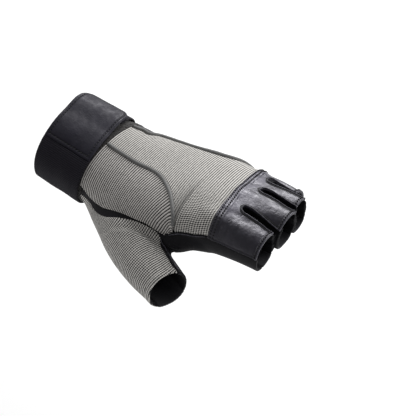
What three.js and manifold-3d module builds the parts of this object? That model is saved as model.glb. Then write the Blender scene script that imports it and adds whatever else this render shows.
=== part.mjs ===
// Half-finger fitness glove for a left hand, palm down, in millimetres.
// +Y runs from the wrist to the fingertips, +X to the thumb side, +Z to the back of the hand.
// The origin is the centre of the wrist opening.

import * as THREE from "three";
import Module from "manifold-3d";

const wasm = await Module();
wasm.setup();

// Driving dimensions
const WALL = 1.6;
const GAP = 0.3;
const STRAP_WIDTH = 32.5;
const STRAP_THICKNESS = 1.7;
const TAB_THICKNESS = 1.8;
const TAB_SEAM_ANGLE = 52;
const TAB_END_ANGLE = 137;
const TAB_CORNER_RADIUS = 9;
const STRAP_START_ANGLE = 51.4;
const STRAP_END_ANGLE = -245;
const STRAP_CLEARANCE = 0.4;
const PIPING_RADIUS = 1.1;
const PIPING_LIFT = 0.3;
const HAND_START = 1.5;
const HAND_END = 132;
const KNIT_START = 26.5;
const THUMB_LENGTH = 68;

// How finely the forms are faceted: sides round a form, steps along a seam or across a cut, and the
// distance from row to row, in millimetres, degrees, or shares of the length.
const HAND_SIDES = 26;
const THUMB_SIDES = 16;
const WEB_SIDES = 12;
const FINGER_SIDES = 14;
const PIPING_SIDES = 6;
const SEAM_STEPS = 22;
const BAND_COLUMNS = 3;
const SIDE_COLUMNS = 5;
const THUMB_CUT_STEPS = 9;
const HAND_ROW = 11;
const HAND_CUT_ROW = 10;
const SECTOR_COLUMN = 20;
const STRAP_ROW = 12;
const TUBE_ROW = 0.2;
const STALL_ROW = 0.3;

// A slanted edge is a line Y = at + slope * X, seen from above.
const CUFF_EDGE = { at: 36.9, slope: -0.14 };
const KNUCKLE_EDGE = { at: 120.6, slope: 0.05 };

// The leather's side seam lies in a plane Z = at + slope * X.
const LEATHER_SEAM = { at: 2.6, slope: 0.17 };

// Cloths and leathers
const KNIT = { color: 0x8d8b86, roughness: 0.9 };
const PIPING = { color: 0x6f6f70, roughness: 0.8 };
const LEATHER = { color: 0x34353d, roughness: 0.5 };
const PALM_LEATHER = { color: 0x1c1d22, roughness: 0.7 };
const STRETCH_CLOTH = { color: 0x1c1d22, roughness: 0.8 };
const LOOP_CLOTH = { color: 0x26262a, roughness: 0.95 };

// Gives the numbers of each row the names of their columns.
function table(columns, rows) {
  return rows.map((row) => Object.fromEntries(columns.map((column, i) => [column, row[i]])));
}

// Sections of the hand. The half sizes reach from the centre to the thumb side, the little-finger
// side, the back and the palm. Pitch and roll are in degrees.
const HAND = table(
  ["y", "x", "z", "pitch", "roll", "thumbSide", "littleSide", "back", "palm", "power"],
  [
    [0, 0, 0, -6, -8, 27.5, 29.5, 21.3, 21.5, 2.2],
    [33, 0, -4, -6, -8, 29.5, 30, 20.4, 22.8, 2.2],
    [42, 0, -4.5, -3, -7, 31, 31, 20, 22, 2.2],
    [55, 0, -4, 2, -4, 33, 31, 19, 22, 2.2],
    [75, -1, -2, 6, 0, 37, 33, 18, 21, 2.3],
    [95, -2, 1, 6, 4, 39, 35, 17, 19, 2.4],
    [113, -2, 3, 3, 10, 39, 36, 15.5, 18, 2.4],
    [125, -2, 4, 0, 11.5, 36, 36, 14.5, 11, 2.4],
    [132, -2, 4, 0, 11.5, 31, 33, 13.5, 7, 2.4],
  ],
);

// Sections of the thumb, from its root under the strap to its opening.
const THUMB = table(
  ["t", "x", "y", "z", "width", "depth"],
  [
    [-0.4, 12, 36, -13.5, 13, 12],
    [0, 24, 56, -17, 15, 15],
    [0.5, 42, 82, -20, 15, 14.5],
    [1, 58, 112, -19.5, 12.5, 12.5],
  ],
);

// The web between the thumb and the index finger: a rounded bar inside the crotch.
const WEB = table(
  ["t", "x", "y", "z", "radius"],
  [
    [0, 28, 86, -14, 8],
    [0.4, 31.5, 101, -7.5, 7.6],
    [0.7, 29.5, 110, -1.5, 8.2],
    [1, 26, 121, 0, 8.5],
  ],
);

// The four finger stalls, from the knuckle to the opening. Rise is how far a stall's root rises into
// the hand. Lean tips the top of the opening back, and slant brings its thumb side forward.
const FINGERS = table(
  [
    "name", "x0", "y0", "z0", "x1", "y1", "z1",
    "width0", "depth0", "width1", "depth1", "rise", "lean", "slant",
  ],
  [
    ["index", 23.8, 120, 6, 25.1, 153.6, 6.1, 12, 15, 11.1, 10.9, 0, -0.5, 0],
    ["middle", 4.6, 123, 7, 5, 156, 8, 12, 14, 10.6, 11.5, 0, -5, -3.5],
    ["ring", -14.3, 123, 1.3, -13.4, 154.9, 4.7, 11, 13, 9.6, 10.5, 2, -2.5, 0],
    ["little", -27.6, 116, -3.8, -28.6, 146, -4.1, 10, 12, 8.3, 10.5, 6.5, 2.5, -11],
  ],
);
const FINGER_POWER = 2.2;
const ROUND_POWER = 2;
const FINGER_BOW = 1;

// A stall's root narrows inside the hand, so that its knuckle runs smoothly into the back.
const STALL_ROOT = -0.9;
const ROOT_TAPER = 0.6;

// The slots between the stalls: where the web lies, where the slot ends, and its gusset's size.
const SLOTS = table(
  ["name", "x0", "y0", "x1", "y1", "halfWidth", "bottom"],
  [
    ["index_middle", 14.2, 131, 16, 163, 3.3, 0],
    ["middle_ring", -7.3, 131, -5.5, 163, 3.5, -3],
    ["ring_little", -23.8, 128, -25.2, 163, 3.9, -8],
  ],
);
const SLOT_GAP = 0.4;

// Seams on the hand, as places along it and angles round it: 0 is the thumb side, 90 the back.
const THUMB_SIDE_SEAM = table(
  ["y", "angle"],
  [
    [30, 17], [36, 10], [42, 1.5], [50, 1.2], [58, 2.8], [66, 2.3], [75, 0], [82.5, -1.8],
    [88.8, -8.5], [94.3, -17], [98.9, -11.5], [104, -6.2], [109, -5.2], [114, -6.5], [124, -3.5],
  ],
);
const OUTER_SEAM = table(
  ["y", "angle"],
  [
    [30, 127], [42, 127], [46, 129], [50, 127], [57, 138], [70, 132], [84, 126], [96, 126],
    [103, 134], [108, 150], [114, 168], [124, 178],
  ],
);
const INNER_SEAM = [
  [33, 85.2], [50, 80.2], [61, 76.6], [72, 74.4], [80.6, 69.2], [89.6, 56], [95.2, 41.5], [99, 25],
  [100.7, 10], [101.3, -12],
];

// Width of the dart between hand and thumb, along the hand.
const DART = table(
  ["y", "width"],
  [[34, 5], [39, 5.5], [44, 4.2], [50, 4.4], [56, 4.6], [61, 3.8], [66, 2.4], [71, 1.4], [94, 1]],
);
const DART_START = 33;
const DART_END = 78;
const DART_REACH = [0.7, 1.4];

// The lower bound of the thumb-side panel, well below its seam: where it runs and at what angle.
const THUMB_SIDE_BOUND = { start: 28, end: 88, angle: -30 };

// Where the black strip down the inside of the thumb begins and ends, round the thumb.
const THUMB_STRIP = { from: 0.55, low: 120, high: 205 };
const THUMB_PANEL = { low: -62, high: 132 };
const THUMB_CUT_END = 1.1;

// The black strip from the thumb's crotch along the index finger, seen from above, and its height.
const INDEX_STRIP = { start: 94, inner: 27, outer: 60, end: 165, bottom: -9, top: 30 };

const radians = THREE.MathUtils.degToRad;
const mix = THREE.MathUtils.lerp;

// A column's value between the rows of a table: a cubic whose slope at a row follows its neighbours.
function smooth(rows, key, column, place) {
  const last = rows.length - 1;
  const at = THREE.MathUtils.clamp(place, rows[0][key], rows[last][key]);
  const found = rows.findIndex((row, i) => i > 0 && at <= row[key]);
  const i = Math.max(found, 1);
  const slope = (a, b) => (rows[b][column] - rows[a][column]) / (rows[b][key] - rows[a][key]);
  const span = rows[i][key] - rows[i - 1][key];
  const before = slope(Math.max(i - 2, 0), i) * span;
  const after = slope(i - 1, Math.min(i + 1, last)) * span;
  const k = (at - rows[i - 1][key]) / span;
  const start = rows[i - 1][column];
  const end = rows[i][column];
  const bend = 2 * (start - end) + before + after;
  return start + k * (before + k * (3 * (end - start) - 2 * before - after + k * bend));
}

// A section's frame: its centre, the direction to the thumb side, the direction to the back, and its
// four half sizes.
function section(centre, along, roll, halves, power) {
  const level = new THREE.Vector3().crossVectors(along, new THREE.Vector3(0, 0, 1)).normalize();
  const side = level.applyAxisAngle(along, -radians(roll));
  const up = new THREE.Vector3().crossVectors(side, along);
  return { centre, side, up, halves, power };
}

function handSection(y) {
  const value = (column) => smooth(HAND, "y", column, y);
  const pitch = radians(value("pitch"));
  const along = new THREE.Vector3(0, Math.cos(pitch), Math.sin(pitch));
  const centre = new THREE.Vector3(value("x"), y, value("z"));
  const halves = [value("thumbSide"), value("littleSide"), value("back"), value("palm")];
  return section(centre, along, value("roll"), halves, value("power"));
}

// A place on the middle line of a table of sections, and the line's direction there.
const LINE_STEP = 0.02;
function middleLine(rows, t) {
  const centreAt = (k) => new THREE.Vector3(...["x", "y", "z"].map((c) => smooth(rows, "t", c, k)));
  const inside = THREE.MathUtils.clamp(t, rows[0].t + LINE_STEP, 1 - LINE_STEP);
  const along = centreAt(inside + LINE_STEP).sub(centreAt(inside - LINE_STEP)).normalize();
  return { centre: centreAt(t), along };
}

function thumbSection(t) {
  const { centre, along } = middleLine(THUMB, t);
  centre.addScaledVector(along, Math.max(t - 1, 0) * THUMB_LENGTH);
  const width = smooth(THUMB, "t", "width", t);
  const depth = smooth(THUMB, "t", "depth", t);
  return section(centre, along, 0, [width, width, depth, depth], FINGER_POWER);
}

function webSection(t) {
  const { centre, along } = middleLine(WEB, t);
  const radius = smooth(WEB, "t", "radius", t);
  return section(centre, along, 0, [radius, radius, radius, radius], ROUND_POWER);
}

function fingerSection(finger, t) {
  const base = new THREE.Vector3(finger.x0, finger.y0, finger.z0);
  const end = new THREE.Vector3(finger.x1, finger.y1, finger.z1);
  const run = end.clone().sub(base);
  const centre = base.addScaledVector(run, t);
  centre.z += t > 0 ? FINGER_BOW * 4 * t * (1 - t) : -finger.rise * t;
  const taper = 1 + ROOT_TAPER * Math.min(t, 0);
  const width = taper * mix(finger.width0, finger.width1, t);
  const depth = taper * mix(finger.depth0, finger.depth1, t);
  const made = section(centre, run.normalize(), 0, [width, width, depth, depth], FINGER_POWER);
  made.up.addScaledVector(run, -Math.tan(radians(finger.lean * t))).normalize();
  made.side.addScaledVector(run, Math.tan(radians(finger.slant * t))).normalize();
  return made;
}

// A point of a section's rounded outline, at an angle from the thumb side.
function outlinePoint(at, angle, offset = 0, scale = 1) {
  const c = Math.cos(radians(angle));
  const s = Math.sin(radians(angle));
  const [thumbSide, littleSide, back, palm] = at.halves;
  const across = (c > 0 ? thumbSide : littleSide) * scale + offset;
  const height = (s > 0 ? back : palm) * scale + offset;
  const round = (value) => Math.sign(value) * Math.abs(value) ** (2 / at.power);
  const place = at.centre.clone().addScaledVector(at.side, across * round(c));
  return place.addScaledVector(at.up, height * round(s));
}

// The angle that a short way round a section's outline takes, near an angle.
function turnFor(at, angle, way) {
  const perDegree = outlinePoint(at, angle - 0.5).distanceTo(outlinePoint(at, angle + 0.5));
  return way / perDegree;
}

// A solid from points and triangles, with its faces turned out.
function solidFrom(points, triangles) {
  const volume = triangles.reduce((sum, [a, b, c]) => {
    const normal = new THREE.Vector3().crossVectors(points[b], points[c]);
    return sum + points[a].dot(normal);
  }, 0);
  const turned = volume < 0 ? triangles.map(([a, b, c]) => [a, c, b]) : triangles;
  const vertProperties = new Float32Array(points.flatMap((p) => [p.x, p.y, p.z]));
  const triVerts = new Uint32Array(turned.flat());
  return new wasm.Manifold(new wasm.Mesh({ numProp: 3, vertProperties, triVerts }));
}

// A closed loft through sections, each an outline with the same number of sides.
function loft(sections, sides, offset) {
  const points = sections.flatMap((at) =>
    Array.from({ length: sides }, (_, k) => outlinePoint(at, (360 * k) / sides, offset)),
  );
  const triangles = [];
  for (let row = 0; row < sections.length - 1; row++) {
    for (let k = 0; k < sides; k++) {
      const a = row * sides + k;
      const b = row * sides + ((k + 1) % sides);
      triangles.push([a, b, b + sides], [a, b + sides, a + sides]);
    }
  }
  const top = (sections.length - 1) * sides;
  for (let k = 1; k < sides - 1; k++) {
    triangles.push([0, k + 1, k], [top, top + k, top + k + 1]);
  }
  return solidFrom(points, triangles);
}

// A closed slab of cloth: pointAt gives a place for two shares, across and along, and a depth of 0
// on its inner face and 1 on its outer face.
function slab(pointAt, acrossSteps, alongSteps) {
  const points = [];
  const index = (i, j, depth) => (j * (acrossSteps + 1) + i) * 2 + depth;
  for (let j = 0; j <= alongSteps; j++) {
    for (let i = 0; i <= acrossSteps; i++) {
      points.push(pointAt(i / acrossSteps, j / alongSteps, 0));
      points.push(pointAt(i / acrossSteps, j / alongSteps, 1));
    }
  }
  const triangles = [];
  const quad = (a, b, c, d) => triangles.push([a, b, c], [a, c, d]);
  for (let j = 0; j < alongSteps; j++) {
    for (let i = 0; i < acrossSteps; i++) {
      quad(index(i, j, 0), index(i, j + 1, 0), index(i + 1, j + 1, 0), index(i + 1, j, 0));
      quad(index(i, j, 1), index(i + 1, j, 1), index(i + 1, j + 1, 1), index(i, j + 1, 1));
    }
    const n = acrossSteps;
    quad(index(0, j, 0), index(0, j, 1), index(0, j + 1, 1), index(0, j + 1, 0));
    quad(index(n, j, 0), index(n, j + 1, 0), index(n, j + 1, 1), index(n, j, 1));
  }
  for (let i = 0; i < acrossSteps; i++) {
    const m = alongSteps;
    quad(index(i, 0, 0), index(i + 1, 0, 0), index(i + 1, 0, 1), index(i, 0, 1));
    quad(index(i, m, 0), index(i, m, 1), index(i + 1, m, 1), index(i + 1, m, 0));
  }
  return solidFrom(points, triangles);
}

// A solid from a three.js geometry whose faces share no vertices.
function solidOf(geometry) {
  const position = geometry.getAttribute("position");
  const order = geometry.index ? Array.from(geometry.index.array) : [...Array(position.count).keys()];
  const points = [];
  const seen = new Map();
  const merged = order.map((i) => {
    const p = new THREE.Vector3().fromBufferAttribute(position, i);
    const key = p.toArray().map((value) => value.toFixed(4)).join();
    if (!seen.has(key)) {
      seen.set(key, points.length);
      points.push(p);
    }
    return seen.get(key);
  });
  const triangles = [];
  for (let i = 0; i < merged.length; i += 3) {
    triangles.push(merged.slice(i, i + 3));
  }
  return solidFrom(points, triangles);
}

// An outline seen from above, extruded upwards from one height to another.
function prism(outline, low, high) {
  const shape = new THREE.Shape(outline.map(([x, y]) => new THREE.Vector2(x, y)));
  const geometry = new THREE.ExtrudeGeometry(shape, { depth: high - low, bevelEnabled: false });
  return solidOf(geometry.translate(0, 0, low));
}

// Everything past a slanted edge, seen from above, when side is 1, or before it when side is -1.
const FAR = 90;
function beyondEdge(edge, side, margin = 0) {
  const line = (x) => edge.at + edge.slope * x - side * margin;
  const farEnd = side > 0 ? 2 * FAR : -FAR;
  return prism([[-FAR, line(-FAR)], [FAR, line(FAR)], [FAR, farEnd], [-FAR, farEnd]], -FAR, FAR);
}

// Part of the space round the hand between two seams, given as angles along it.
const HAND_REACH = [0.55, 1.6];
function handSector(from, to, lowAngle, highAngle, margin = 0, reach = HAND_REACH) {
  const steps = Math.ceil((to - from) / HAND_CUT_ROW);
  const pointAt = (across, along, depth) => {
    const at = handSection(mix(from - margin, to + margin, along));
    const lowEdge = lowAngle(at.centre.y);
    const highEdge = highAngle(at.centre.y);
    const low = lowEdge - turnFor(at, lowEdge, margin);
    const high = highEdge + turnFor(at, highEdge, margin);
    return outlinePoint(at, mix(low, high, across), depth ? margin : 0, reach[depth]);
  };
  const turn = highAngle(from) - lowAngle(from);
  return slab(pointAt, Math.ceil(turn / SECTOR_COLUMN), steps);
}

// Part of the space round the thumb between two angles. It reaches further out at the thumb's root.
const THUMB_REACH = { inner: 0.45, root: 1.6, tip: 1.2, from: 0.45, to: 0.65 };
function thumbSector(from, to, low, high, margin = 0) {
  const pointAt = (across, along, depth) => {
    const t = mix(from - margin / THUMB_LENGTH, to, along);
    const towardsTip = THREE.MathUtils.smoothstep(t, THUMB_REACH.from, THUMB_REACH.to);
    const reach = depth ? mix(THUMB_REACH.root, THUMB_REACH.tip, towardsTip) : THUMB_REACH.inner;
    const at = thumbSection(t);
    const angle = mix(low - turnFor(at, low, margin), high + turnFor(at, high, margin), across);
    return outlinePoint(at, angle, depth ? margin : 0, reach);
  };
  return slab(pointAt, Math.ceil((high - low) / SECTOR_COLUMN), THUMB_CUT_STEPS);
}

// Numbers from one end to another, no further apart than a step.
function spread(from, to, step) {
  const count = Math.ceil((to - from) / step);
  return Array.from({ length: count + 1 }, (_, i) => mix(from, to, i / count));
}

// The outer forms or, with a negative offset and longer ends, the hollow of the hand, thumb and stalls.
function handForm(offset, start, end) {
  return loft(spread(start, end, HAND_ROW).map(handSection), HAND_SIDES, offset);
}

function thumbForm(offset, end) {
  const whole = loft(spread(THUMB[0].t, end, TUBE_ROW).map(thumbSection), THUMB_SIDES, offset);
  return whole.intersect(beyondEdge(CUFF_EDGE, 1));
}

function webForm(offset) {
  return loft(spread(0, 1, TUBE_ROW).map(webSection), WEB_SIDES, offset);
}

function stallsForm(offset, end, slotGap, webDrop) {
  const stalls = FINGERS.map((finger) => {
    const sections = spread(STALL_ROOT, end, STALL_ROW).map((t) => fingerSection(finger, t));
    return loft(sections, FINGER_SIDES, offset);
  });
  const slots = SLOTS.map((slot) => slotPrism(slot, slotGap / 2, slot.y0 + SLOT_ROUND - webDrop, -FAR));
  const whole = stalls.reduce((sum, stall) => sum.add(stall));
  return slots.reduce((sum, slot) => sum.subtract(slot), whole);
}

// A slot between two stalls, seen from above, with half its width to each side of its middle line.
const SLOT_ROUND = 2;
function slotPrism(slot, halfWidth, start, low) {
  const lean = (slot.x1 - slot.x0) / (slot.y1 - slot.y0);
  const middle = (y) => slot.x0 + lean * (y - slot.y0);
  const outline = [
    [middle(start) - halfWidth, start],
    [middle(start) + halfWidth, start],
    [middle(slot.y1) + halfWidth, slot.y1],
    [middle(slot.y1) - halfWidth, slot.y1],
  ];
  return prism(outline, low, FAR);
}

// The whole glove past the cuff, as one hollow form open at the wrist, the thumb and the stalls.
const OVERRUN = 6;
const STALL_HOLLOW_END = 1.2;
const outerForm = handForm(0, HAND_START, HAND_END)
  .add(thumbForm(0, 1))
  .add(webForm(0))
  .add(stallsForm(0, 1, SLOT_GAP, 0));
const hollow = handForm(-WALL, HAND_START - OVERRUN, HAND_END - WALL)
  .add(thumbForm(-WALL, 1 + OVERRUN / THUMB_LENGTH))
  .add(webForm(-WALL))
  .add(stallsForm(-WALL, STALL_HOLLOW_END, SLOT_GAP + 2 * WALL, WALL));
const wholeShell = outerForm.subtract(hollow);
const cuffShell = wholeShell.intersect(beyondEdge(CUFF_EDGE, -1, -GAP / 2));
const shell = wholeShell.intersect(beyondEdge(CUFF_EDGE, 1, -GAP / 2));

// The piping is a cord laid in a seam, and the panels stop short of it on both sides.
class SeamCurve extends THREE.Curve {
  constructor(route, offset) {
    super();
    this.route = route;
    this.offset = offset;
  }

  getPoint(t) {
    const place = this.route.getPoint(t);
    return outlinePoint(handSection(place.x), place.y, this.offset);
  }
}

function cord(route, radius) {
  const circle = spread(0, 1, 1 / PIPING_SIDES).slice(0, PIPING_SIDES);
  const rim = circle.map((k) => {
    const turn = 2 * Math.PI * k;
    return new THREE.Vector2(radius * Math.cos(turn), radius * Math.sin(turn));
  });
  const extrudePath = new SeamCurve(route, PIPING_LIFT);
  const options = { steps: SEAM_STEPS, extrudePath };
  return solidOf(new THREE.ExtrudeGeometry(new THREE.Shape(rim), options));
}

// A thin cut through the wall along a seam.
function seamCut(route) {
  const pointAt = (across, along, depth) => {
    const place = route.getPoint(along);
    const ahead = route.getTangent(along);
    const radius = handSection(place.x).halves[0];
    const turn = new THREE.Vector2(-radians(ahead.y) * radius, ahead.x).normalize();
    const shift = (across - 0.5) * GAP;
    const angle = place.y + THREE.MathUtils.radToDeg((turn.y * shift) / radius);
    return outlinePoint(handSection(place.x + turn.x * shift), angle, 0, HAND_REACH[depth]);
  };
  return slab(pointAt, 1, SEAM_STEPS);
}

const innerRoute = new THREE.SplineCurve(INNER_SEAM.map(([y, angle]) => new THREE.Vector2(y, angle)));
const outerRoute = new THREE.SplineCurve(OUTER_SEAM.map((row) => new THREE.Vector2(row.y, row.angle)));
const innerChannel = cord(innerRoute, PIPING_RADIUS + GAP).add(seamCut(innerRoute));
const outerChannel = cord(outerRoute, PIPING_RADIUS + GAP);

// Regions of the shell, each one growing by the gap where it is cut out of its neighbours.
const thumbSideAngle = (y) => smooth(THUMB_SIDE_SEAM, "y", "angle", y);
const outerAngle = (y) => smooth(OUTER_SEAM, "y", "angle", y);
const dartAngle = (y) => {
  const width = smooth(DART, "y", "width", y);
  return thumbSideAngle(y) - turnFor(handSection(y), thumbSideAngle(y), width + GAP);
};

function knitRegion(margin) {
  const around = handSector(KNIT_START, HAND_END, thumbSideAngle, outerAngle, margin);
  return around.intersect(beyondEdge(KNUCKLE_EDGE, -1, margin));
}

// Between the inner piping and a line well below the thumb-side seam.
function thumbSideRegion() {
  const pointAt = (across, along, depth) => {
    const top = innerRoute.getPoint(along);
    const y = mix(top.x, mix(THUMB_SIDE_BOUND.start, THUMB_SIDE_BOUND.end, along), across);
    const angle = mix(top.y, THUMB_SIDE_BOUND.angle, across);
    return outlinePoint(handSection(y), angle, 0, HAND_REACH[depth]);
  };
  return slab(pointAt, SIDE_COLUMNS, SEAM_STEPS);
}

function dartRegion(margin) {
  const top = (y) => thumbSideAngle(y) - turnFor(handSection(y), thumbSideAngle(y), GAP);
  return handSector(DART_START, DART_END, dartAngle, top, margin, DART_REACH);
}

function leatherRegion(margin) {
  const tilt = THREE.MathUtils.radToDeg(Math.atan(LEATHER_SEAM.slope));
  const above = prism([[-FAR, 0], [FAR, 0], [FAR, 2 * FAR], [-FAR, 2 * FAR]], -margin, FAR);
  const tilted = above.rotate([0, -tilt, 0]).translate([0, 0, LEATHER_SEAM.at]);
  return tilted.intersect(beyondEdge(KNUCKLE_EDGE, 1, margin));
}

function slotRegion(slot, margin) {
  return slotPrism(slot, slot.halfWidth + margin, slot.y0 - margin, slot.bottom - margin);
}

function indexStripRegion(margin) {
  const { start, inner, outer, end, bottom, top } = INDEX_STRIP;
  const outline = [[inner - margin, start], [outer, start], [outer, end], [inner - margin, end]];
  return prism(outline, bottom - margin, top);
}

function thumbStripRegion(margin) {
  return thumbSector(THUMB_STRIP.from, THUMB_CUT_END, THUMB_STRIP.low, THUMB_STRIP.high, margin);
}

function thumbRegion(margin) {
  return thumbSector(THUMB[0].t, THUMB_CUT_END, THUMB_PANEL.low, THUMB_PANEL.high, margin);
}

function slotRegions(margin) {
  return SLOTS.map((slot) => slotRegion(slot, margin)).reduce((a, b) => a.add(b));
}

// Every piece, and the part it takes from the shell
const channelled = shell.subtract(outerChannel).subtract(innerChannel);
const knit = channelled.intersect(knitRegion(0));
const sidePart = thumbSideRegion();
const leather = shell.intersect(leatherRegion(0)).subtract(slotRegions(GAP));
const afterKnit = channelled.subtract(knitRegion(GAP)).subtract(leatherRegion(GAP));
const notSlots = afterKnit.subtract(slotRegions(GAP));
const dart = notSlots.intersect(dartRegion(0));
const afterDart = notSlots.subtract(dartRegion(GAP));
const thumbStrip = afterDart.intersect(thumbStripRegion(0));
const afterStrip = afterDart.subtract(thumbStripRegion(GAP));
const thumbPanel = afterStrip.intersect(thumbRegion(0));
const afterThumb = afterStrip.subtract(thumbRegion(GAP));
const indexStrip = afterThumb.intersect(indexStripRegion(0));
const palm = afterThumb.subtract(indexStripRegion(GAP));

// The strap and its tab lie round the cuff. The tab climbs over the strap's end.
function band(fromAngle, toAngle, widthAt, innerOffset, thickness) {
  const steps = Math.ceil(Math.abs(toAngle - fromAngle) / STRAP_ROW);
  const pointAt = (across, along, depth) => {
    const angle = mix(fromAngle, toAngle, along);
    const half = widthAt(angle) / 2;
    const y = mix(STRAP_WIDTH / 2 - half, STRAP_WIDTH / 2 + half, across);
    return outlinePoint(handSection(y), angle, innerOffset(angle) + depth * thickness);
  };
  return slab(pointAt, BAND_COLUMNS, steps);
}

const TAB_CLIMB = { from: 92, to: 116 };
const tabOffset = (angle) => {
  const climbed = THREE.MathUtils.smoothstep(angle, TAB_CLIMB.from, TAB_CLIMB.to);
  return STRAP_CLEARANCE + climbed * (STRAP_THICKNESS + GAP);
};

// The tab's far end has rounded corners.
const TAB_RADIUS_AT_END = 28;
const tabWidth = (angle) => {
  const toEnd = radians(TAB_END_ANGLE - angle) * TAB_RADIUS_AT_END;
  const into = Math.max(TAB_CORNER_RADIUS - toEnd, 0);
  const cut = TAB_CORNER_RADIUS - Math.sqrt(TAB_CORNER_RADIUS ** 2 - into ** 2);
  return STRAP_WIDTH - 2 * cut;
};

const strapWidth = () => STRAP_WIDTH;
const strapOffset = () => STRAP_CLEARANCE;
const strap = band(STRAP_END_ANGLE, STRAP_START_ANGLE, strapWidth, strapOffset, STRAP_THICKNESS);
const tab = band(TAB_SEAM_ANGLE, TAB_END_ANGLE, tabWidth, tabOffset, TAB_THICKNESS);

// The piping stops at the cuff and at the knuckle leather.
const pipingZone = beyondEdge(CUFF_EDGE, 1, -GAP).intersect(beyondEdge(KNUCKLE_EDGE, -1, -GAP));

// The largest body of a cut piece, without the crumbs that a cut leaves at its edges.
function mainBody(solid) {
  return solid.decompose().reduce((a, b) => (a.volume() > b.volume() ? a : b));
}

const glove = new THREE.Group();
function addPiece(name, solid, cloth) {
  const mesh = mainBody(solid).getMesh();
  const geometry = new THREE.BufferGeometry();
  geometry.setAttribute("position", new THREE.BufferAttribute(new Float32Array(mesh.vertProperties), 3));
  geometry.setIndex(new THREE.BufferAttribute(new Uint32Array(mesh.triVerts), 1));
  geometry.computeVertexNormals();
  const piece = new THREE.Mesh(geometry, new THREE.MeshStandardMaterial({ metalness: 0, ...cloth }));
  piece.name = name;
  glove.add(piece);
}

addPiece("cuff_band", cuffShell, LOOP_CLOTH);
addPiece("wrist_strap", strap, STRETCH_CLOTH);
addPiece("strap_tab", tab, LEATHER);
addPiece("back_panel", knit.subtract(sidePart), KNIT);
addPiece("thumb_side_panel", knit.intersect(sidePart), KNIT);
addPiece("inner_piping", cord(innerRoute, PIPING_RADIUS).intersect(pipingZone), PIPING);
addPiece("outer_piping", cord(outerRoute, PIPING_RADIUS).intersect(pipingZone), PIPING);
addPiece("thumb_gusset", dart, STRETCH_CLOTH);
addPiece("thumb_panel", thumbPanel, KNIT);
addPiece("thumb_inner_panel", thumbStrip, STRETCH_CLOTH);
addPiece("index_side_panel", indexStrip, STRETCH_CLOTH);
addPiece("knuckle_panel", leather, LEATHER);
SLOTS.forEach((slot) => {
  addPiece("fourchette_" + slot.name, shell.intersect(slotRegion(slot, 0)), STRETCH_CLOTH);
});
addPiece("palm_panel", palm, PALM_LEATHER);

export default glove;
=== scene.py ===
import math
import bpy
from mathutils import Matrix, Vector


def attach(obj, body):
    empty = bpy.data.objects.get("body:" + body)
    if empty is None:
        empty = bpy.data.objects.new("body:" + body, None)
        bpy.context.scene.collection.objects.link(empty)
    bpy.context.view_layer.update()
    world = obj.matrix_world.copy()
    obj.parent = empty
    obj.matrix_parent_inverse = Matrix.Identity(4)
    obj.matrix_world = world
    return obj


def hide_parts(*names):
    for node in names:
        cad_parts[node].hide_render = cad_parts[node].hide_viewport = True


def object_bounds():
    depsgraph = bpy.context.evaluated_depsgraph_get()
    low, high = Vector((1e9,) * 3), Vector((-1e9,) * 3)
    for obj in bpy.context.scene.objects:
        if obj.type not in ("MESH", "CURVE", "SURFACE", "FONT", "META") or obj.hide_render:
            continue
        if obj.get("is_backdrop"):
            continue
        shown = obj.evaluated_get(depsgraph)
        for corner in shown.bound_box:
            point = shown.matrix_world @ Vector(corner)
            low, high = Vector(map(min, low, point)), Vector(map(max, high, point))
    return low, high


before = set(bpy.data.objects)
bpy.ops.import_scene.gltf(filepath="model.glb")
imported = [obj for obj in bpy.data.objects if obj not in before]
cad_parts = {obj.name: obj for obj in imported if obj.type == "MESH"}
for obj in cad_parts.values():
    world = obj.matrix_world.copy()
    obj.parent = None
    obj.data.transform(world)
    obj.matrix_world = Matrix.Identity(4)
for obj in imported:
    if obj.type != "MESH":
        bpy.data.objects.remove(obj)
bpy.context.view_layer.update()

from types import SimpleNamespace

import bmesh
import bpy
import numpy as np
from mathutils import Matrix, Vector, noise
from mathutils.bvhtree import BVHTree

# The view
# The glove is seen from above its thumb side, with its back up and its length level. It hangs well
# above a plain white floor, in broad soft light from its back and its little-finger side.
MM = 0.001
AZIMUTH, ELEVATION, ROLL = 26, 42, 6
DISTANCE = 0.74
TARGET = Vector((0, 0.102, 0))
FRAME_PIXELS = 416
FOCAL_PIXELS = 1270
TARGET_PIXEL = (207, 200)
SENSOR = 36
LAMP_DISTANCE = 1.3
LAMP_SIZE = 0.6
LAMPS = (  # name, azimuth, elevation, power in watts
    ("key_light", 190, 30, 11.1),
    ("tip_light", 130, 25, 7.1),
    ("wrist_light", 220, 50, 5.6),
    ("top_light", 100, 40, 1.6),
    ("low_light", 300, 20, 1.8),
)
SKY_STRENGTH = 0.24
FLOOR_DROP = 0.30
FLOOR_SIZE = 4.0
FLOOR_WHITE = (0.99, 0.99, 0.99, 1)
FLOOR_ROUGHNESS = 0.9


def in_scene(name, data):
    """A new object of the scene: a camera, a lamp or a mesh."""
    made = bpy.data.objects.new(name, data)
    bpy.context.scene.collection.objects.link(made)
    return made


def mesh_of(name, shape):
    """A new mesh with a shape that is finished."""
    mesh = bpy.data.meshes.new(name)
    shape.to_mesh(mesh)
    shape.free()
    return mesh


def direction(azimuth, elevation):
    """The way out from the glove at an azimuth and an elevation in degrees."""
    turn, rise = math.radians(azimuth), math.radians(elevation)
    return Vector((math.cos(rise) * math.cos(turn), math.cos(rise) * math.sin(turn), math.sin(rise)))


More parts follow.
